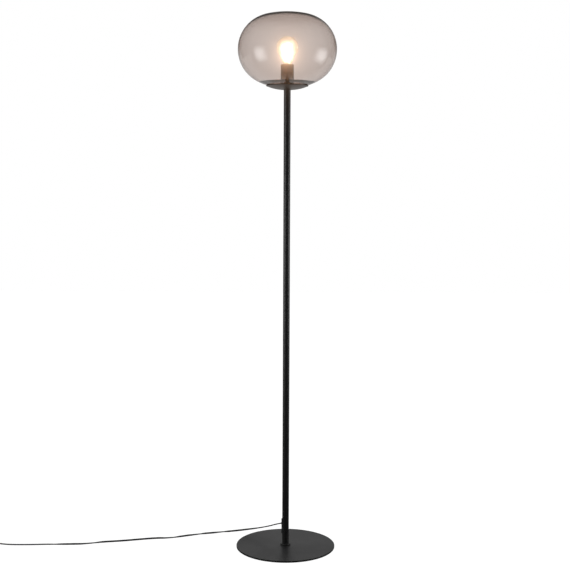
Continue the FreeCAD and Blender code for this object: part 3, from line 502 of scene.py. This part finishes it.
def smokedGlass():                                # the tint comes from the wall's thickness
    finish = Finish("smokedGlass")
    waves = finish.noise(14, 2)
    normal = finish.bump(waves, 0.00010, 0.05)
    glass = finish.principled(Base_Color=(1, 1, 1, 1), Roughness=0.0, IOR=1.5, Transmission_Weight=1.0,
                              Normal=normal)
    tint = finish.node("ShaderNodeVolumeAbsorption", {},
                       {"Color": smoke["colour"], "Density": smoke["density"]})
    finish.show(tint, "Volume")
    return finish.show(glass)


frost = {"rough": (0.86, 0.94), "glow": 0.085, "warm": (1.0, 0.86, 0.64, 1)}


def frostedGlass():                               # etched inside, lit through
    finish = Finish("frostedGlass")
    etch = finish.noise(900, 2)
    normal = finish.bump(etch, 0.00004, 0.2)
    rough = finish.between(etch, *frost["rough"])
    shell = finish.principled(Base_Color=(1, 0.97, 0.93, 1), Roughness=rough, IOR=1.45,
                              Transmission_Weight=1.0, Normal=normal, Emission_Color=frost["warm"],
                              Emission_Strength=frost["glow"])
    return finish.show(shell)


def clearGlass():
    finish = Finish("clearGlass")
    normal = finish.bump(finish.noise(60, 2), 0.0001, 0.1)
    return finish.show(finish.principled(Base_Color=(0.97, 0.98, 0.97, 1), Roughness=0.02, IOR=1.5,
                                         Transmission_Weight=1.0, Normal=normal))


def blackGlass():
    finish = Finish("blackGlass")
    swirl = finish.noise(240, 3)
    colour = finish.colours(swirl, (0.3, (0.008, 0.008, 0.010)), (0.7, (0.02, 0.018, 0.022)))
    return finish.show(finish.principled(Base_Color=colour, Roughness=finish.between(swirl, 0.08, 0.16)))


filament = {"strength": 8.5, "pale": (1.0, 0.92, 0.80), "deep": (1.0, 0.82, 0.62)}


def litFilament():
    finish = Finish("litFilament")
    beads = finish.noise(900, 2)
    colour = finish.colours(beads, (0.3, filament["deep"]), (0.7, filament["pale"]))
    return finish.show(finish.principled(Base_Color=colour, Roughness=0.5, Emission_Color=colour,
                                         Emission_Strength=filament["strength"]))


def sheath(name, dark, light):                    # smooth soft PVC with faint drawn lines
    finish = Finish(name)
    cloud = finish.noise(70, 3)
    grain = finish.noise(2400, 2)
    colour = finish.colours(cloud, (0.3, dark), (0.7, light))
    normal = finish.bump(grain, 0.00004, 0.25)
    rough = finish.between(cloud, 0.40, 0.50)
    return finish.show(finish.principled(Base_Color=colour, Roughness=rough, Normal=normal, IOR=1.5))


pinSleeve = {"end": -1.1522}                      # X where the plastic stops


def plugPin():                                    # a plastic sleeve at the root, nickel to the tip
    finish = Finish("plugPin")
    bare = 1 - (finish.part(finish.here(), "X") > pinSleeve["end"])
    scratches = finish.noise(500, 4, 0.6, (0.2, 2, 2))
    colour = finish.node("ShaderNodeMix", {"data_type": "RGBA"}, {0: bare, 6: (0.014, 0.014, 0.014, 1),
                                                                  7: (0.70, 0.67, 0.61, 1)}, 2)
    rough = finish.between(scratches, 0.22, 0.34) + (1 - bare) * 0.15
    normal = finish.bump(scratches, 0.00003, 0.2)
    return finish.show(finish.principled(Base_Color=colour, Metallic=bare, Roughness=rough, Normal=normal))


finishes = {
    "powder": powderCoat(),
    "lacquer": glossLacquer("glossLacquer", (0.016, 0.0145, 0.014), (0.021, 0.019, 0.018)),
    "sleeve": glossLacquer("bronzeLacquer", (0.034, 0.027, 0.023), (0.041, 0.032, 0.027)),
    "zinc": metal("zincPlate", (0.42, 0.43, 0.45), (0.60, 0.61, 0.63), 0.24, 0.36, (1, 1, 0.1)),
    "brass": metal("brass", (0.58, 0.40, 0.16), (0.72, 0.52, 0.24), 0.20, 0.32, (1, 1, 0.2)),
    "nickel": metal("nickelBrass", (0.58, 0.55, 0.49), (0.72, 0.69, 0.63), 0.18, 0.28, (1, 1, 0.2)),
    "spring": metal("springSteel", (0.30, 0.30, 0.31), (0.46, 0.46, 0.47), 0.22, 0.34, (1, 1, 0.1)),
    "blackPlastic": moulded("blackPlastic", (0.011, 0.011, 0.011), (0.016, 0.016, 0.016)),
    "whitePlastic": moulded("whitePlastic", (0.68, 0.68, 0.65), (0.76, 0.76, 0.74), 0.38),
    "rubber": moulded("blackRubber", (0.008, 0.008, 0.008), (0.014, 0.014, 0.014), 0.62, 1500, 0.00008),
    "tie": moulded("bandPlastic", (0.012, 0.012, 0.012), (0.02, 0.02, 0.02), 0.5, 1900),
    "foam": softFoam(),
    "ceramic": glazed(),
    "smokedGlass": smokedGlass(),
    "frostedGlass": frostedGlass(),
    "clearGlass": clearGlass(),
    "blackGlass": blackGlass(),
    "filament": litFilament(),
    "cord": sheath("cordSheath", (0.0095, 0.0095, 0.0095), (0.014, 0.014, 0.014)),
    "brownLead": sheath("brownLead", (0.06, 0.025, 0.012), (0.08, 0.034, 0.017)),
    "blueLead": sheath("blueLead", (0.02, 0.06, 0.30), (0.03, 0.08, 0.38)),
    "pin": plugPin(),
}


def dress(piece, finish):
    piece.data.materials.clear()
    piece.data.materials.append(finishes[finish])
    return piece


dress(mainLead, "cord")
dress(tailLead, "cord")
print("finishes:", len(finishes))


# Tapered sleeves where the cord goes into the foot switch and the plug

relief = {
    "root": 0.0042, "tip": 0.0033, "length": 0.022, "sides": 24, "steps": 44,
    "ribs": 5, "ribbed": (0.15, 0.95), "groove": 0.0006, "sharpness": 2.2,
}


def measured(line):                               # distance along the line at each point
    total = [0.0]
    for here, there in zip(line, line[1:]):
        total.append(total[-1] + (there - here).length)
    return total


def pointAt(line, distances, at):
    for k in range(len(line) - 1):
        if distances[k + 1] >= at:
            share = (at - distances[k]) / (distances[k + 1] - distances[k])
            return line[k].lerp(line[k + 1], share)
    return line[-1]


def makeRelief(name, line):                       # line starts where the housing ends
    distances = measured(line)
    steps = relief["steps"]
    middles = [pointAt(line, distances, relief["length"] * k / steps) for k in range(steps + 1)]
    ribStart, ribEnd = relief["ribbed"]
    rings = []
    for k, (middle, heading) in enumerate(zip(middles, headings(middles))):
        share = k / steps
        radius = relief["root"] + (relief["tip"] - relief["root"]) * share
        if ribStart < share < ribEnd:
            wave = math.cos(2 * math.pi * share * relief["ribs"])
            radius -= relief["groove"] * max(0, min(1, 0.5 - relief["sharpness"] * wave))
        rings.append(ringRound(middle, heading, radius, relief["sides"], up))
    piece = skin(name, rings)
    smooth(piece, 50)
    return dress(place(piece, slot="black_plastic"), "blackPlastic")


reliefIn = makeRelief("relief_in", list(reversed(mainLine)))
reliefOut = makeRelief("relief_out", tailLine)
print("strain reliefs")


# The band that holds the coil

band = {"width": 0.0070, "thickness": 0.0008, "corner": 0.0022, "cornerSteps": 5, "gap": 0.0002}


def bandLoop(low, high, near, far, corner):       # a rounded rectangle in Y and Z
    loop = []
    corners = [(far - corner, high - corner, 0), (near + corner, high - corner, 90),
               (near + corner, low + corner, 180), (far - corner, low + corner, 270)]
    for y, z, start in corners:
        for k in range(band["cornerSteps"] + 1):
            angle = math.radians(start + 90 * k / band["cornerSteps"])
            loop.append(Vector((coil["x"], y + corner * math.cos(angle), z + corner * math.sin(angle))))
    return loop


def makeBand():
    halfWide = lead["width"] / 2
    inner = coil["radius"] - coil["pitch"] * coil["layerTurns"]
    near = coil["y"] - coil["radius"] - halfWide - band["gap"]
    far = coil["y"] - inner + halfWide + band["gap"]
    low = coil["lower"] + coil["tieLift"] - lead["thickness"] / 2 - band["gap"]
    high = coil["lower"] + coil["tieLift"] + coil["rise"] + lead["thickness"] / 2 + band["gap"]
    loop = bandLoop(low, high, near, far, band["corner"])
    outer = bandLoop(low - band["thickness"], high + band["thickness"], near - band["thickness"],
                     far + band["thickness"], band["corner"] + band["thickness"])
    half = Vector((band["width"] / 2, 0, 0))
    rings = []
    for within, without in zip(loop, outer):
        rings.append([within - half, within + half, without + half, without - half])
    piece = skin("coil_band", rings, endless=True)
    smooth(piece, 40)
    return dress(place(piece, slot="tie", instead=["coil_tie"]), "tie")


coilBand = makeBand()
print("coil band")


# The glass globe, spun from its section

globe = {
    "diameter": 0.2715, "crownRadius": 0.2776, "sideRadius": 0.0958, "bottomRadius": 0.1833, "opening": 0.084,
    "wall": 0.0025, "footWall": 0.0036, "foot": (0.046, 0.052, 0.060, 0.077),
    "crownWall": 0.0011, "crown": (0.060, 0.125),
    "steps": 160, "bottomSteps": 26, "sideSteps": 40, "crownSteps": 26, "lipSteps": 8,
}


def globeArcs(inward, middleHeight, crownMiddle, bottomMiddle):
    sideR = globe["diameter"] / 2 - globe["sideRadius"]
    bottom = globe["bottomRadius"] - inward
    side = globe["sideRadius"] - inward
    crown = globe["crownRadius"] - inward
    mouth = globe["opening"] / 2 + globe["wall"] / 2
    start = -90 + math.degrees(math.asin(mouth / bottom))
    lower = math.degrees(math.atan2(middleHeight - bottomMiddle, sideR))
    upper = math.degrees(math.atan2(middleHeight - crownMiddle, sideR))
    line = arc(0, bottomMiddle, bottom, start, lower, globe["bottomSteps"])
    line += arc(sideR, middleHeight, side, lower, upper, globe["sideSteps"])[1:]
    line += arc(0, crownMiddle, crown, upper, 90, globe["crownSteps"])[1:]
    return line


def step(value, start, end):                      # smoothly from 0 at start to 1 at end
    share = max(0, min(1, (value - start) / (end - start)))
    return share * share * (3 - 2 * share)


def thickerEnds(points, middleHeight, bottomMiddle):      # blown glass is thicker at its mouth and crown
    rise, full, fall, end = globe["foot"]
    centre = Vector((0, 0, bottomMiddle))
    thick = []
    for point in points:
        extra = globe["crownWall"] * (1 - step(point.x, *globe["crown"]))
        inward = Vector((0, 0, -1))
        if point.z < middleHeight:
            extra = globe["footWall"] * step(point.x, rise, full) * (1 - step(point.x, fall, end))
            inward = (centre - point).normalized()
        thick.append(point + inward * extra)
    return thick


def makeGlobe():
    low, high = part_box("globe_glass")
    crownMiddle = high[2] - globe["crownRadius"]
    sideR = globe["diameter"] / 2 - globe["sideRadius"]
    middleHeight = crownMiddle + math.sqrt((globe["crownRadius"] - globe["sideRadius"]) ** 2 - sideR ** 2)
    bottomMiddle = middleHeight + math.sqrt((globe["bottomRadius"] - globe["sideRadius"]) ** 2 - sideR ** 2)
    outer = globeArcs(0, middleHeight, crownMiddle, bottomMiddle)
    inner = globeArcs(globe["wall"], middleHeight, crownMiddle, bottomMiddle)
    inner = thickerEnds(inner, middleHeight, bottomMiddle)
    lipMiddle = (outer[0] + inner[0]) / 2
    lipRadius = (inner[0] - outer[0]).length / 2
    across = math.degrees(math.atan2(inner[0].z - outer[0].z, inner[0].x - outer[0].x))
    lip = arc(lipMiddle.x, lipMiddle.z, lipRadius, across, across + 180, globe["lipSteps"])[1:-1]
    section = list(reversed(inner)) + lip + outer
    piece = spinLine("glass_globe", section, globe["steps"])
    smooth(piece, 180)
    return dress(place(piece, body="globe", slot="smoked_glass", instead=["globe_glass"]), "smokedGlass")


glassGlobe = makeGlobe()
print("globe:", [round(side, 4) for side in glassGlobe.dimensions])


# The bulb's cap with its round thread

cap = {
    "radius": 0.0130, "depth": 0.0006, "pitch": 0.00363, "waves": 8, "turns": 4, "sides": 48,
    "seat": 0.0016, "rim": 0.0122, "overlap": 0.6,
    "neck": 0.0040, "shoulder": 0.0012, "lip": 0.0008, "slack": 0.0001, "fold": 0.0005,
}


def makeCap():
    low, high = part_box("bulb_cap")
    bottom, top = low[2], high[2]
    rim = cap["rim"]
    middle = cap["radius"] - cap["depth"]
    lip = cap["radius"] - cap["slack"]
    start = bottom + cap["seat"]
    wave = []
    for k in range(cap["waves"] + 1):
        share = k / cap["waves"]
        radius = middle + cap["depth"] * math.cos(2 * math.pi * share)
        wave.append(Vector((radius, 0, start + cap["pitch"] * share)))
    thread = drawLine("threaded_cap", wave)
    bpy.ops.object.mode_set(mode="OBJECT")
    apply(thread, "SCREW", steps=cap["sides"], render_steps=cap["sides"], screw_offset=cap["pitch"],
          iterations=cap["turns"], use_merge_vertices=True, merge_threshold=1e-6)
    foot = [Vector((0, 0, bottom)), Vector((rim, 0, bottom)),
            Vector((rim, 0, start + cap["pitch"] * cap["overlap"]))]
    neck = [Vector((rim, 0, top - cap["neck"])), Vector((rim, 0, top - cap["shoulder"])),
            Vector((lip, 0, top - cap["lip"])), Vector((lip, 0, top)), Vector((rim - cap["fold"], 0, top))]
    lower = spinLine("cap_foot", foot, cap["sides"])
    upper = spinLine("cap_neck", neck, cap["sides"])
    thread = joined([thread, lower, upper])
    smooth(thread, 40)
    return dress(place(thread, body="bulb", slot="nickel_brass", instead=["bulb_cap"]), "nickel")


bulbCap = makeCap()
print("threaded cap")


# The lit strips inside the bulb: they fan out from the stem, held by a wire star at the top

strip = {
    "count": 4, "radius": 0.0011, "foot": 0.0045, "head": 0.0110, "rise": 0.0085, "bow": 0.0015,
    "sides": 10, "steps": 14, "wire": 0.0004, "drop": 0.0080, "sunk": 0.0010, "root": 0.45,
}


def rod(name, points, radius, sides, aside=(0.3, 0.9, 0.1)):      # a round closed tube through points
    turns = headings(points)
    return skin(name, [ringRound(point, turn, radius, sides, aside) for point, turn in zip(points, turns)])


def stripLine(low, high, angle):
    points = []
    for k in range(strip["steps"] + 1):
        share = k / strip["steps"]
        radius = strip["foot"] + (strip["head"] - strip["foot"]) * share
        radius += strip["bow"] * math.sin(math.pi * share)
        height = low + (high - low) * share
        points.append(Vector((radius * math.cos(angle), radius * math.sin(angle), height)))
    return points


def makeStrips():
    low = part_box("bulb_filaments")[0][2]
    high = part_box("bulb_filaments")[1][2] + strip["rise"]
    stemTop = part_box("bulb_stem")[1][2]
    wire, sides = strip["wire"], strip["sides"]
    strips = []
    mast = [Vector((0, 0, stemTop - strip["sunk"])), Vector((0, 0, high + wire))]
    wires = [rod("strip_wires", mast, wire, sides)]
    for k in range(strip["count"]):
        angle = 2 * math.pi * (k + 0.5) / strip["count"]
        line = stripLine(low, high, angle)
        strips.append(rod("lit_strips", line, strip["radius"], sides))
        out = Vector((math.cos(angle), math.sin(angle), 0))
        spoke = [Vector((0, 0, high)), line[-1] - out * strip["radius"] / 2]
        support = [out * strip["foot"] * strip["root"] + Vector((0, 0, low - strip["drop"])), line[0]]
        wires.append(rod("spoke", spoke, wire, sides))
        wires.append(rod("support", support, wire, sides))
    lit = joined(strips)
    star = joined(wires)
    smooth(lit, 60)
    smooth(star, 60)
    place(lit, body="bulb", slot="filament", instead=["bulb_filaments"])
    place(star, body="bulb", slot="bulb_wire", instead=["bulb_wires"])
    return dress(lit, "filament"), dress(star, "zinc")


litStrips, stripWires = makeStrips()
print("lit strips")


# The foot switch's spring, a wound wire coil

spring = {"wire": 0.0004, "turns": 5, "closeEnds": 0.4, "steps": 140, "sides": 8, "travel": 0.003}


def makeSpring():
    low, high = [Vector(corner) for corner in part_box("switch_spring")]
    middle = (low + high) / 2
    radius = (high.x - low.x) / 2 - spring["wire"]
    rise = high.z - low.z - 2 * spring["wire"]
    coil = []
    for k in range(spring["steps"] + 1):
        share = k / spring["steps"]
        angle = 2 * math.pi * spring["turns"] * share
        along = step(share, 0, 1) * spring["closeEnds"] + share * (1 - spring["closeEnds"])
        coil.append(Vector((middle.x + radius * math.cos(angle), middle.y + radius * math.sin(angle),
                            low.z + spring["wire"] + rise * along)))
    piece = rod("switch_coil_spring", coil, spring["wire"], spring["sides"], (0, 0, 1))
    smooth(piece, 60)
    place(piece, slot="zinc_steel", instead=["switch_spring"])
    dress(piece, "spring")
    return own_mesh(piece)


switchSpring = makeSpring()
print("switch spring")


# The mains plug: a flat two-pin body with a waist, grip grooves and a ringed boot

plug = {
    "rear": 0.0160, "front": 0.0500, "halfWidth": 0.01765, "rearHalf": 0.0070,
    "thickness": 0.0137, "edge": 0.0016, "edgeSteps": 3, "boot": 0.0042, "bootRoot": 0.0052, "bootRings": 5,
    "bootSides": 32, "ringStep": 0.0005, "ringDepth": 0.0006, "ringShares": (0.15, 0.60, 0.72, 0.95),
    "bootOverlap": 0.002,
    "ribs": 6, "ribMiddle": 0.0330, "ribPitch": 0.0026, "ribWidth": 0.0012, "ribReach": 0.0105,
    "ribDepth": 0.0005, "ribEdge": 0.0003,
    "y": 0.00611, "x": -1.0922,
}


def plugOutline():                                # along the plug and across it, one side
    return [
        (plug["rear"], plug["rearHalf"]), (0.0205, 0.0094), (0.0250, 0.0135), (0.0285, 0.0160),
        (0.0325, plug["halfWidth"]), (0.0430, plug["halfWidth"]), (plug["front"], 0.0170),
    ]


def cutGrip(body):                                # the grooves across both flat sides
    ribs = []
    for k in range(plug["ribs"]):
        along = plug["ribMiddle"] + plug["ribPitch"] * (k - plug["ribs"] / 2)
        for level in (0, plug["thickness"]):
            bpy.ops.object.select_all(action="DESELECT")
            bpy.ops.mesh.primitive_cube_add(size=1, location=(plug["x"] - along, plug["y"], level))
            rib = bpy.context.active_object
            rib.scale = (plug["ribWidth"], 2 * plug["ribReach"], 2 * plug["ribDepth"])
            bpy.ops.object.transform_apply(location=True, rotation=True, scale=True)
            apply(rib, "BEVEL", width=plug["ribEdge"], segments=2)
            ribs.append(rib)
    for rib in ribs:
        apply(body, "BOOLEAN", operation="DIFFERENCE", object=rib, solver="EXACT")
        bpy.data.objects.remove(rib)


def makeBoot(height):                             # the ringed sleeve behind the plug, spun about X
    section = [(0, 0)]
    rings = plug["bootRings"]
    pitch = plug["rear"] / rings
    first, second, third, fourth = [pitch * share for share in plug["ringShares"]]
    for k in range(rings):
        along = plug["rear"] * k / rings
        radius = plug["boot"] + (plug["bootRoot"] - plug["boot"]) * k / rings
        groove = radius - plug["ringDepth"]
        section += [(along, radius - plug["ringStep"]), (along + first, radius), (along + second, radius),
                    (along + third, groove), (along + fourth, groove)]
    end = plug["rear"] + plug["bootOverlap"]
    section += [(end, plug["bootRoot"]), (end, 0)]
    middle = Vector((plug["x"], plug["y"], height))
    points = [middle + Vector((-along, out, 0)) for along, out in section]
    return spinLine("plug_boot", points, plug["bootSides"], centre=middle, axis=(1, 0, 0))


def makePlug():
    height = plug["thickness"] / 2
    side = plugOutline()
    outline = side + [(along, -across) for along, across in reversed(side)]
    points = [Vector((plug["x"] - along, plug["y"] + across, 0)) for along, across in outline]
    body = drawLine("mains_plug", points)
    bpy.ops.mesh.select_all(action="SELECT")
    bpy.ops.mesh.edge_face_add()
    bpy.ops.mesh.extrude_region_move(TRANSFORM_OT_translate={"value": (0, 0, plug["thickness"])})
    bpy.ops.object.mode_set(mode="OBJECT")
    tidyMesh(body)
    apply(body, "BEVEL", width=plug["edge"], segments=plug["edgeSteps"], limit_method="ANGLE",
          angle_limit=math.radians(25))
    cutGrip(body)
    body = joined([body, makeBoot(height)])
    smooth(body, 35)
    return dress(place(body, slot="black_plastic", instead=["plug_body"]), "blackPlastic")


mainsPlug = makePlug()
print("mains plug")


# The pieces that keep their shape get their finish

nodeFinishes = {
    "powder": ["base_plate", "pole_1", "pole_2", "pole_3", "pole_4", "holder_dish"],
    "lacquer": ["globe_locator", "outlet_screw"],
    "sleeve": ["lampholder_sleeve"],
    "zinc": ["base_screw", "foot_insert", "top_insert", "threaded_tube", "dish_spacer", "lock_washer",
             "lock_nut", "switch_screws", "lampholder_screws"],
    "spring": ["globe_springs"],
    "brass": ["screw_shell", "centre_contact", "bulb_tip", "switch_contacts"],
    "blackPlastic": ["foot_collar", "cable_outlet", "cord_grip", "lampholder_base", "switch_bottom",
                     "switch_cover", "switch_button"],
    "whitePlastic": ["switch_rotor", "switch_carrier"],
    "ceramic": ["lampholder_core"],
    "foam": ["base_pads"],
    "rubber": ["rim_gasket"],
    "frostedGlass": ["bulb_envelope"],
    "clearGlass": ["bulb_stem"],
    "blackGlass": ["bulb_insulator"],
    "cord": ["inner_cord", "switch_cord_ends"],
    "brownLead": ["lead_live"],
    "blueLead": ["lead_neutral"],
    "pin": ["plug_pins"],
}
for joint in (1, 2, 3):
    nodeFinishes["zinc"] += [f"joint_stud_{joint}", f"joint_socket_{joint}"]

for finish, names in nodeFinishes.items():
    for name in names:
        dress(nodes[name], finish)
print("finished nodes:", sum(len(names) for names in nodeFinishes.values()))


# The switch's nodes and the cords' lengths, worked out and not used

switchNodes = [name for name in nodes if name.startswith("switch_") and name != "switch_cord"]
round(lengthOf(mainLine), 3)
switchNodes + [reliefIn]
round(lengthOf(tailLine), 3)


# Studio: a pale floor, a low bright backdrop, two soft side boxes and a surround that looks white

studio = {
    "floorSize": 14.0, "floorDip": 0.0004, "floorShade": 0.12, "floorGlow": 1.13,
    "floorNear": 0.05, "floorFar": 0.80, "floorFade": (0.1, 1.1),
    "front": 0.10, "side": 0.40, "back": 0.08, "softEdge": (0.05, 0.5),
    "backdrop": {"place": (0, 2.6, 0.9), "size": (5.0, 2.6), "glow": 0.56, "fade": (1.20, 1.95)},
    "boxes": {
        "leftBox": {"place": (-1.40, -0.60, 0.92), "aim": (0, 0, 1.38), "size": (1.30, 1.60), "glow": 5.5},
        "rightBox": {"place": (1.54, -0.08, 0.95), "aim": (0, 0, 1.38), "size": (1.50, 1.40), "glow": 5.5},
    },
    "top": {"place": (0, 0.2, 2.9), "aim": (0, 0, 0), "size": (1.6, 1.6), "power": 30},
    "bulb": {"place": (0, 0, 1.392), "radius": 0.028, "power": 78.0, "warm": (1.0, 0.46, 0.20)},
}


def floorFinish():                                # a pale sweep that the lights burn out to white
    finish = Finish("paleFloor")
    colour = finish.colours(finish.noise(0.8, 3), (0.3, (0.86, 0.86, 0.86)), (0.7, (0.90, 0.90, 0.90)))
    lit = finish.principled(Base_Color=colour, Roughness=0.8, Specular_IOR_Level=0.1)
    bright = finish.glow(studio["floorGlow"])
    shown = finish.node("ShaderNodeMixShader", {}, {0: studio["floorShade"], 1: bright, 2: lit})
    depth = finish.part(finish.here(), "Y")
    dim = finish.glow(finish.slope(depth, *studio["floorFade"], studio["floorNear"], studio["floorFar"]))
    return finish.show(finish.node("ShaderNodeMixShader", {}, {0: finish.inView(), 1: dim, 2: shown}))


def makeFloor():
    bpy.ops.object.select_all(action="DESELECT")
    bpy.ops.mesh.primitive_plane_add(size=studio["floorSize"], location=(0, 0, -studio["floorDip"]))
    floor = bpy.context.active_object
    floor.name = "floor"
    bpy.ops.object.transform_apply(location=True, rotation=True, scale=True)
    floor.data.materials.append(floorFinish())


def glowingBoard(name, place, aim, size, finish):         # lights and reflects, the camera doesn't see it
    bpy.ops.object.select_all(action="DESELECT")
    bpy.ops.mesh.primitive_plane_add(size=1)
    board = bpy.context.active_object
    board.name = name
    turn = (Vector(aim) - Vector(place)).to_track_quat("Z", "Y").to_matrix().to_4x4()
    board.matrix_world = Matrix.Translation(place) @ turn @ Matrix.Diagonal((*size, 1, 1))
    board.data.materials.append(finish)
    board.visible_camera = False
    board.visible_transmission = False


def boxFinish(name, glow):                        # bright in the middle, soft towards all four edges
    finish = Finish(name)
    across = finish.slope(abs(finish.part(finish.here(), "X")), *studio["softEdge"], 1.0, 0.0)
    along = finish.slope(abs(finish.part(finish.here(), "Y")), *studio["softEdge"], 1.0, 0.0)
    return finish.show(finish.glow(across * along * glow))


def backdropFinish():                             # bright up to a height, then fading
    board = studio["backdrop"]
    finish = Finish("backdrop")
    height = finish.part(finish.node("ShaderNodeNewGeometry"), "Z")
    return finish.show(finish.glow(finish.slope(height, *board["fade"], 1.0, 0.0) * board["glow"]))


def makeBoards():
    board = studio["backdrop"]
    place = board["place"]
    glowingBoard("backdrop", place, (place[0], 0, place[2]), board["size"], backdropFinish())
    for name, box in studio["boxes"].items():
        glowingBoard(name, box["place"], box["aim"], box["size"], boxFinish(name, box["glow"]))


def makeSurround():
    world = bpy.data.worlds.new("surround")
    bpy.context.scene.world = world
    finish = Finish("surround", world)
    heading = finish.node("ShaderNodeTexCoord", output="Generated")
    grey = finish.colours(finish.part(heading, "Y") * 0.5 + 0.5, (0.0, (studio["front"],) * 3),
                          (0.5, (studio["side"],) * 3), (1.0, (studio["back"],) * 3))
    white = finish.node("ShaderNodeBackground", {}, {"Color": (1, 1, 1, 1), "Strength": 1.0})
    dim = finish.node("ShaderNodeBackground", {}, {"Color": grey})
    finish.show(finish.node("ShaderNodeMixShader", {}, {0: finish.inView(), 1: dim, 2: white}))


def hiddenLight(name, kind):                      # a light that only lights
    light = bpy.data.lights.new(name, kind)
    holder = link(name, light)
    holder.visible_camera = False
    holder.visible_transmission = False
    holder.visible_glossy = False
    return light, holder


def makeTopLight():
    top = studio["top"]
    light, holder = hiddenLight("topLight", "AREA")
    light.shape = "RECTANGLE"
    light.size, light.size_y = top["size"]
    light.energy = top["power"]
    place = Vector(top["place"])
    aim = (Vector(top["aim"]) - place).to_track_quat("-Z", "Y")
    holder.matrix_world = Matrix.Translation(place) @ aim.to_matrix().to_4x4()


def makeBulbLight():                              # the bulb's own light on the lampholder and the dish
    bulb = studio["bulb"]
    light, holder = hiddenLight("bulbLight", "POINT")
    light.shadow_soft_size = bulb["radius"]
    light.energy = bulb["power"]
    light.color = bulb["warm"]
    holder.location = bulb["place"]
    for name in ("bulb_envelope", "bulb_stem"):
        nodes[name].visible_shadow = False


bloom = {"threshold": 1.3, "size": 0.14, "stops": 3.3, "warm": (1.0, 0.88, 0.76, 1)}


def makeBloom():                                  # the lens glow round the lit bulb
    scene = bpy.context.scene
    scene.use_nodes = True
    tree = scene.node_tree
    tree.nodes.clear()
    layers = tree.nodes.new("CompositorNodeRLayers")
    glare = tree.nodes.new("CompositorNodeGlare")
    glare.glare_type = "BLOOM"
    glare.inputs["Threshold"].default_value = bloom["threshold"]
    glare.inputs["Size"].default_value = bloom["size"]
    glare.inputs["Tint"].default_value = bloom["warm"]
    lift = tree.nodes.new("CompositorNodeExposure")
    lift.inputs["Exposure"].default_value = bloom["stops"]
    add = tree.nodes.new("CompositorNodeMixRGB")
    add.blend_type = "ADD"
    out = tree.nodes.new("CompositorNodeComposite")
    tree.links.new(layers.outputs["Image"], glare.inputs["Image"])
    tree.links.new(glare.outputs["Glare"], lift.inputs["Image"])
    tree.links.new(layers.outputs["Image"], add.inputs[1])
    tree.links.new(lift.outputs["Image"], add.inputs[2])
    tree.links.new(add.outputs["Image"], out.inputs["Image"])


makeFloor()
makeSurround()
makeBoards()
makeTopLight()
makeBulbLight()
makeBloom()
bpy.context.scene.view_settings.view_transform = "Standard"
print("studio")
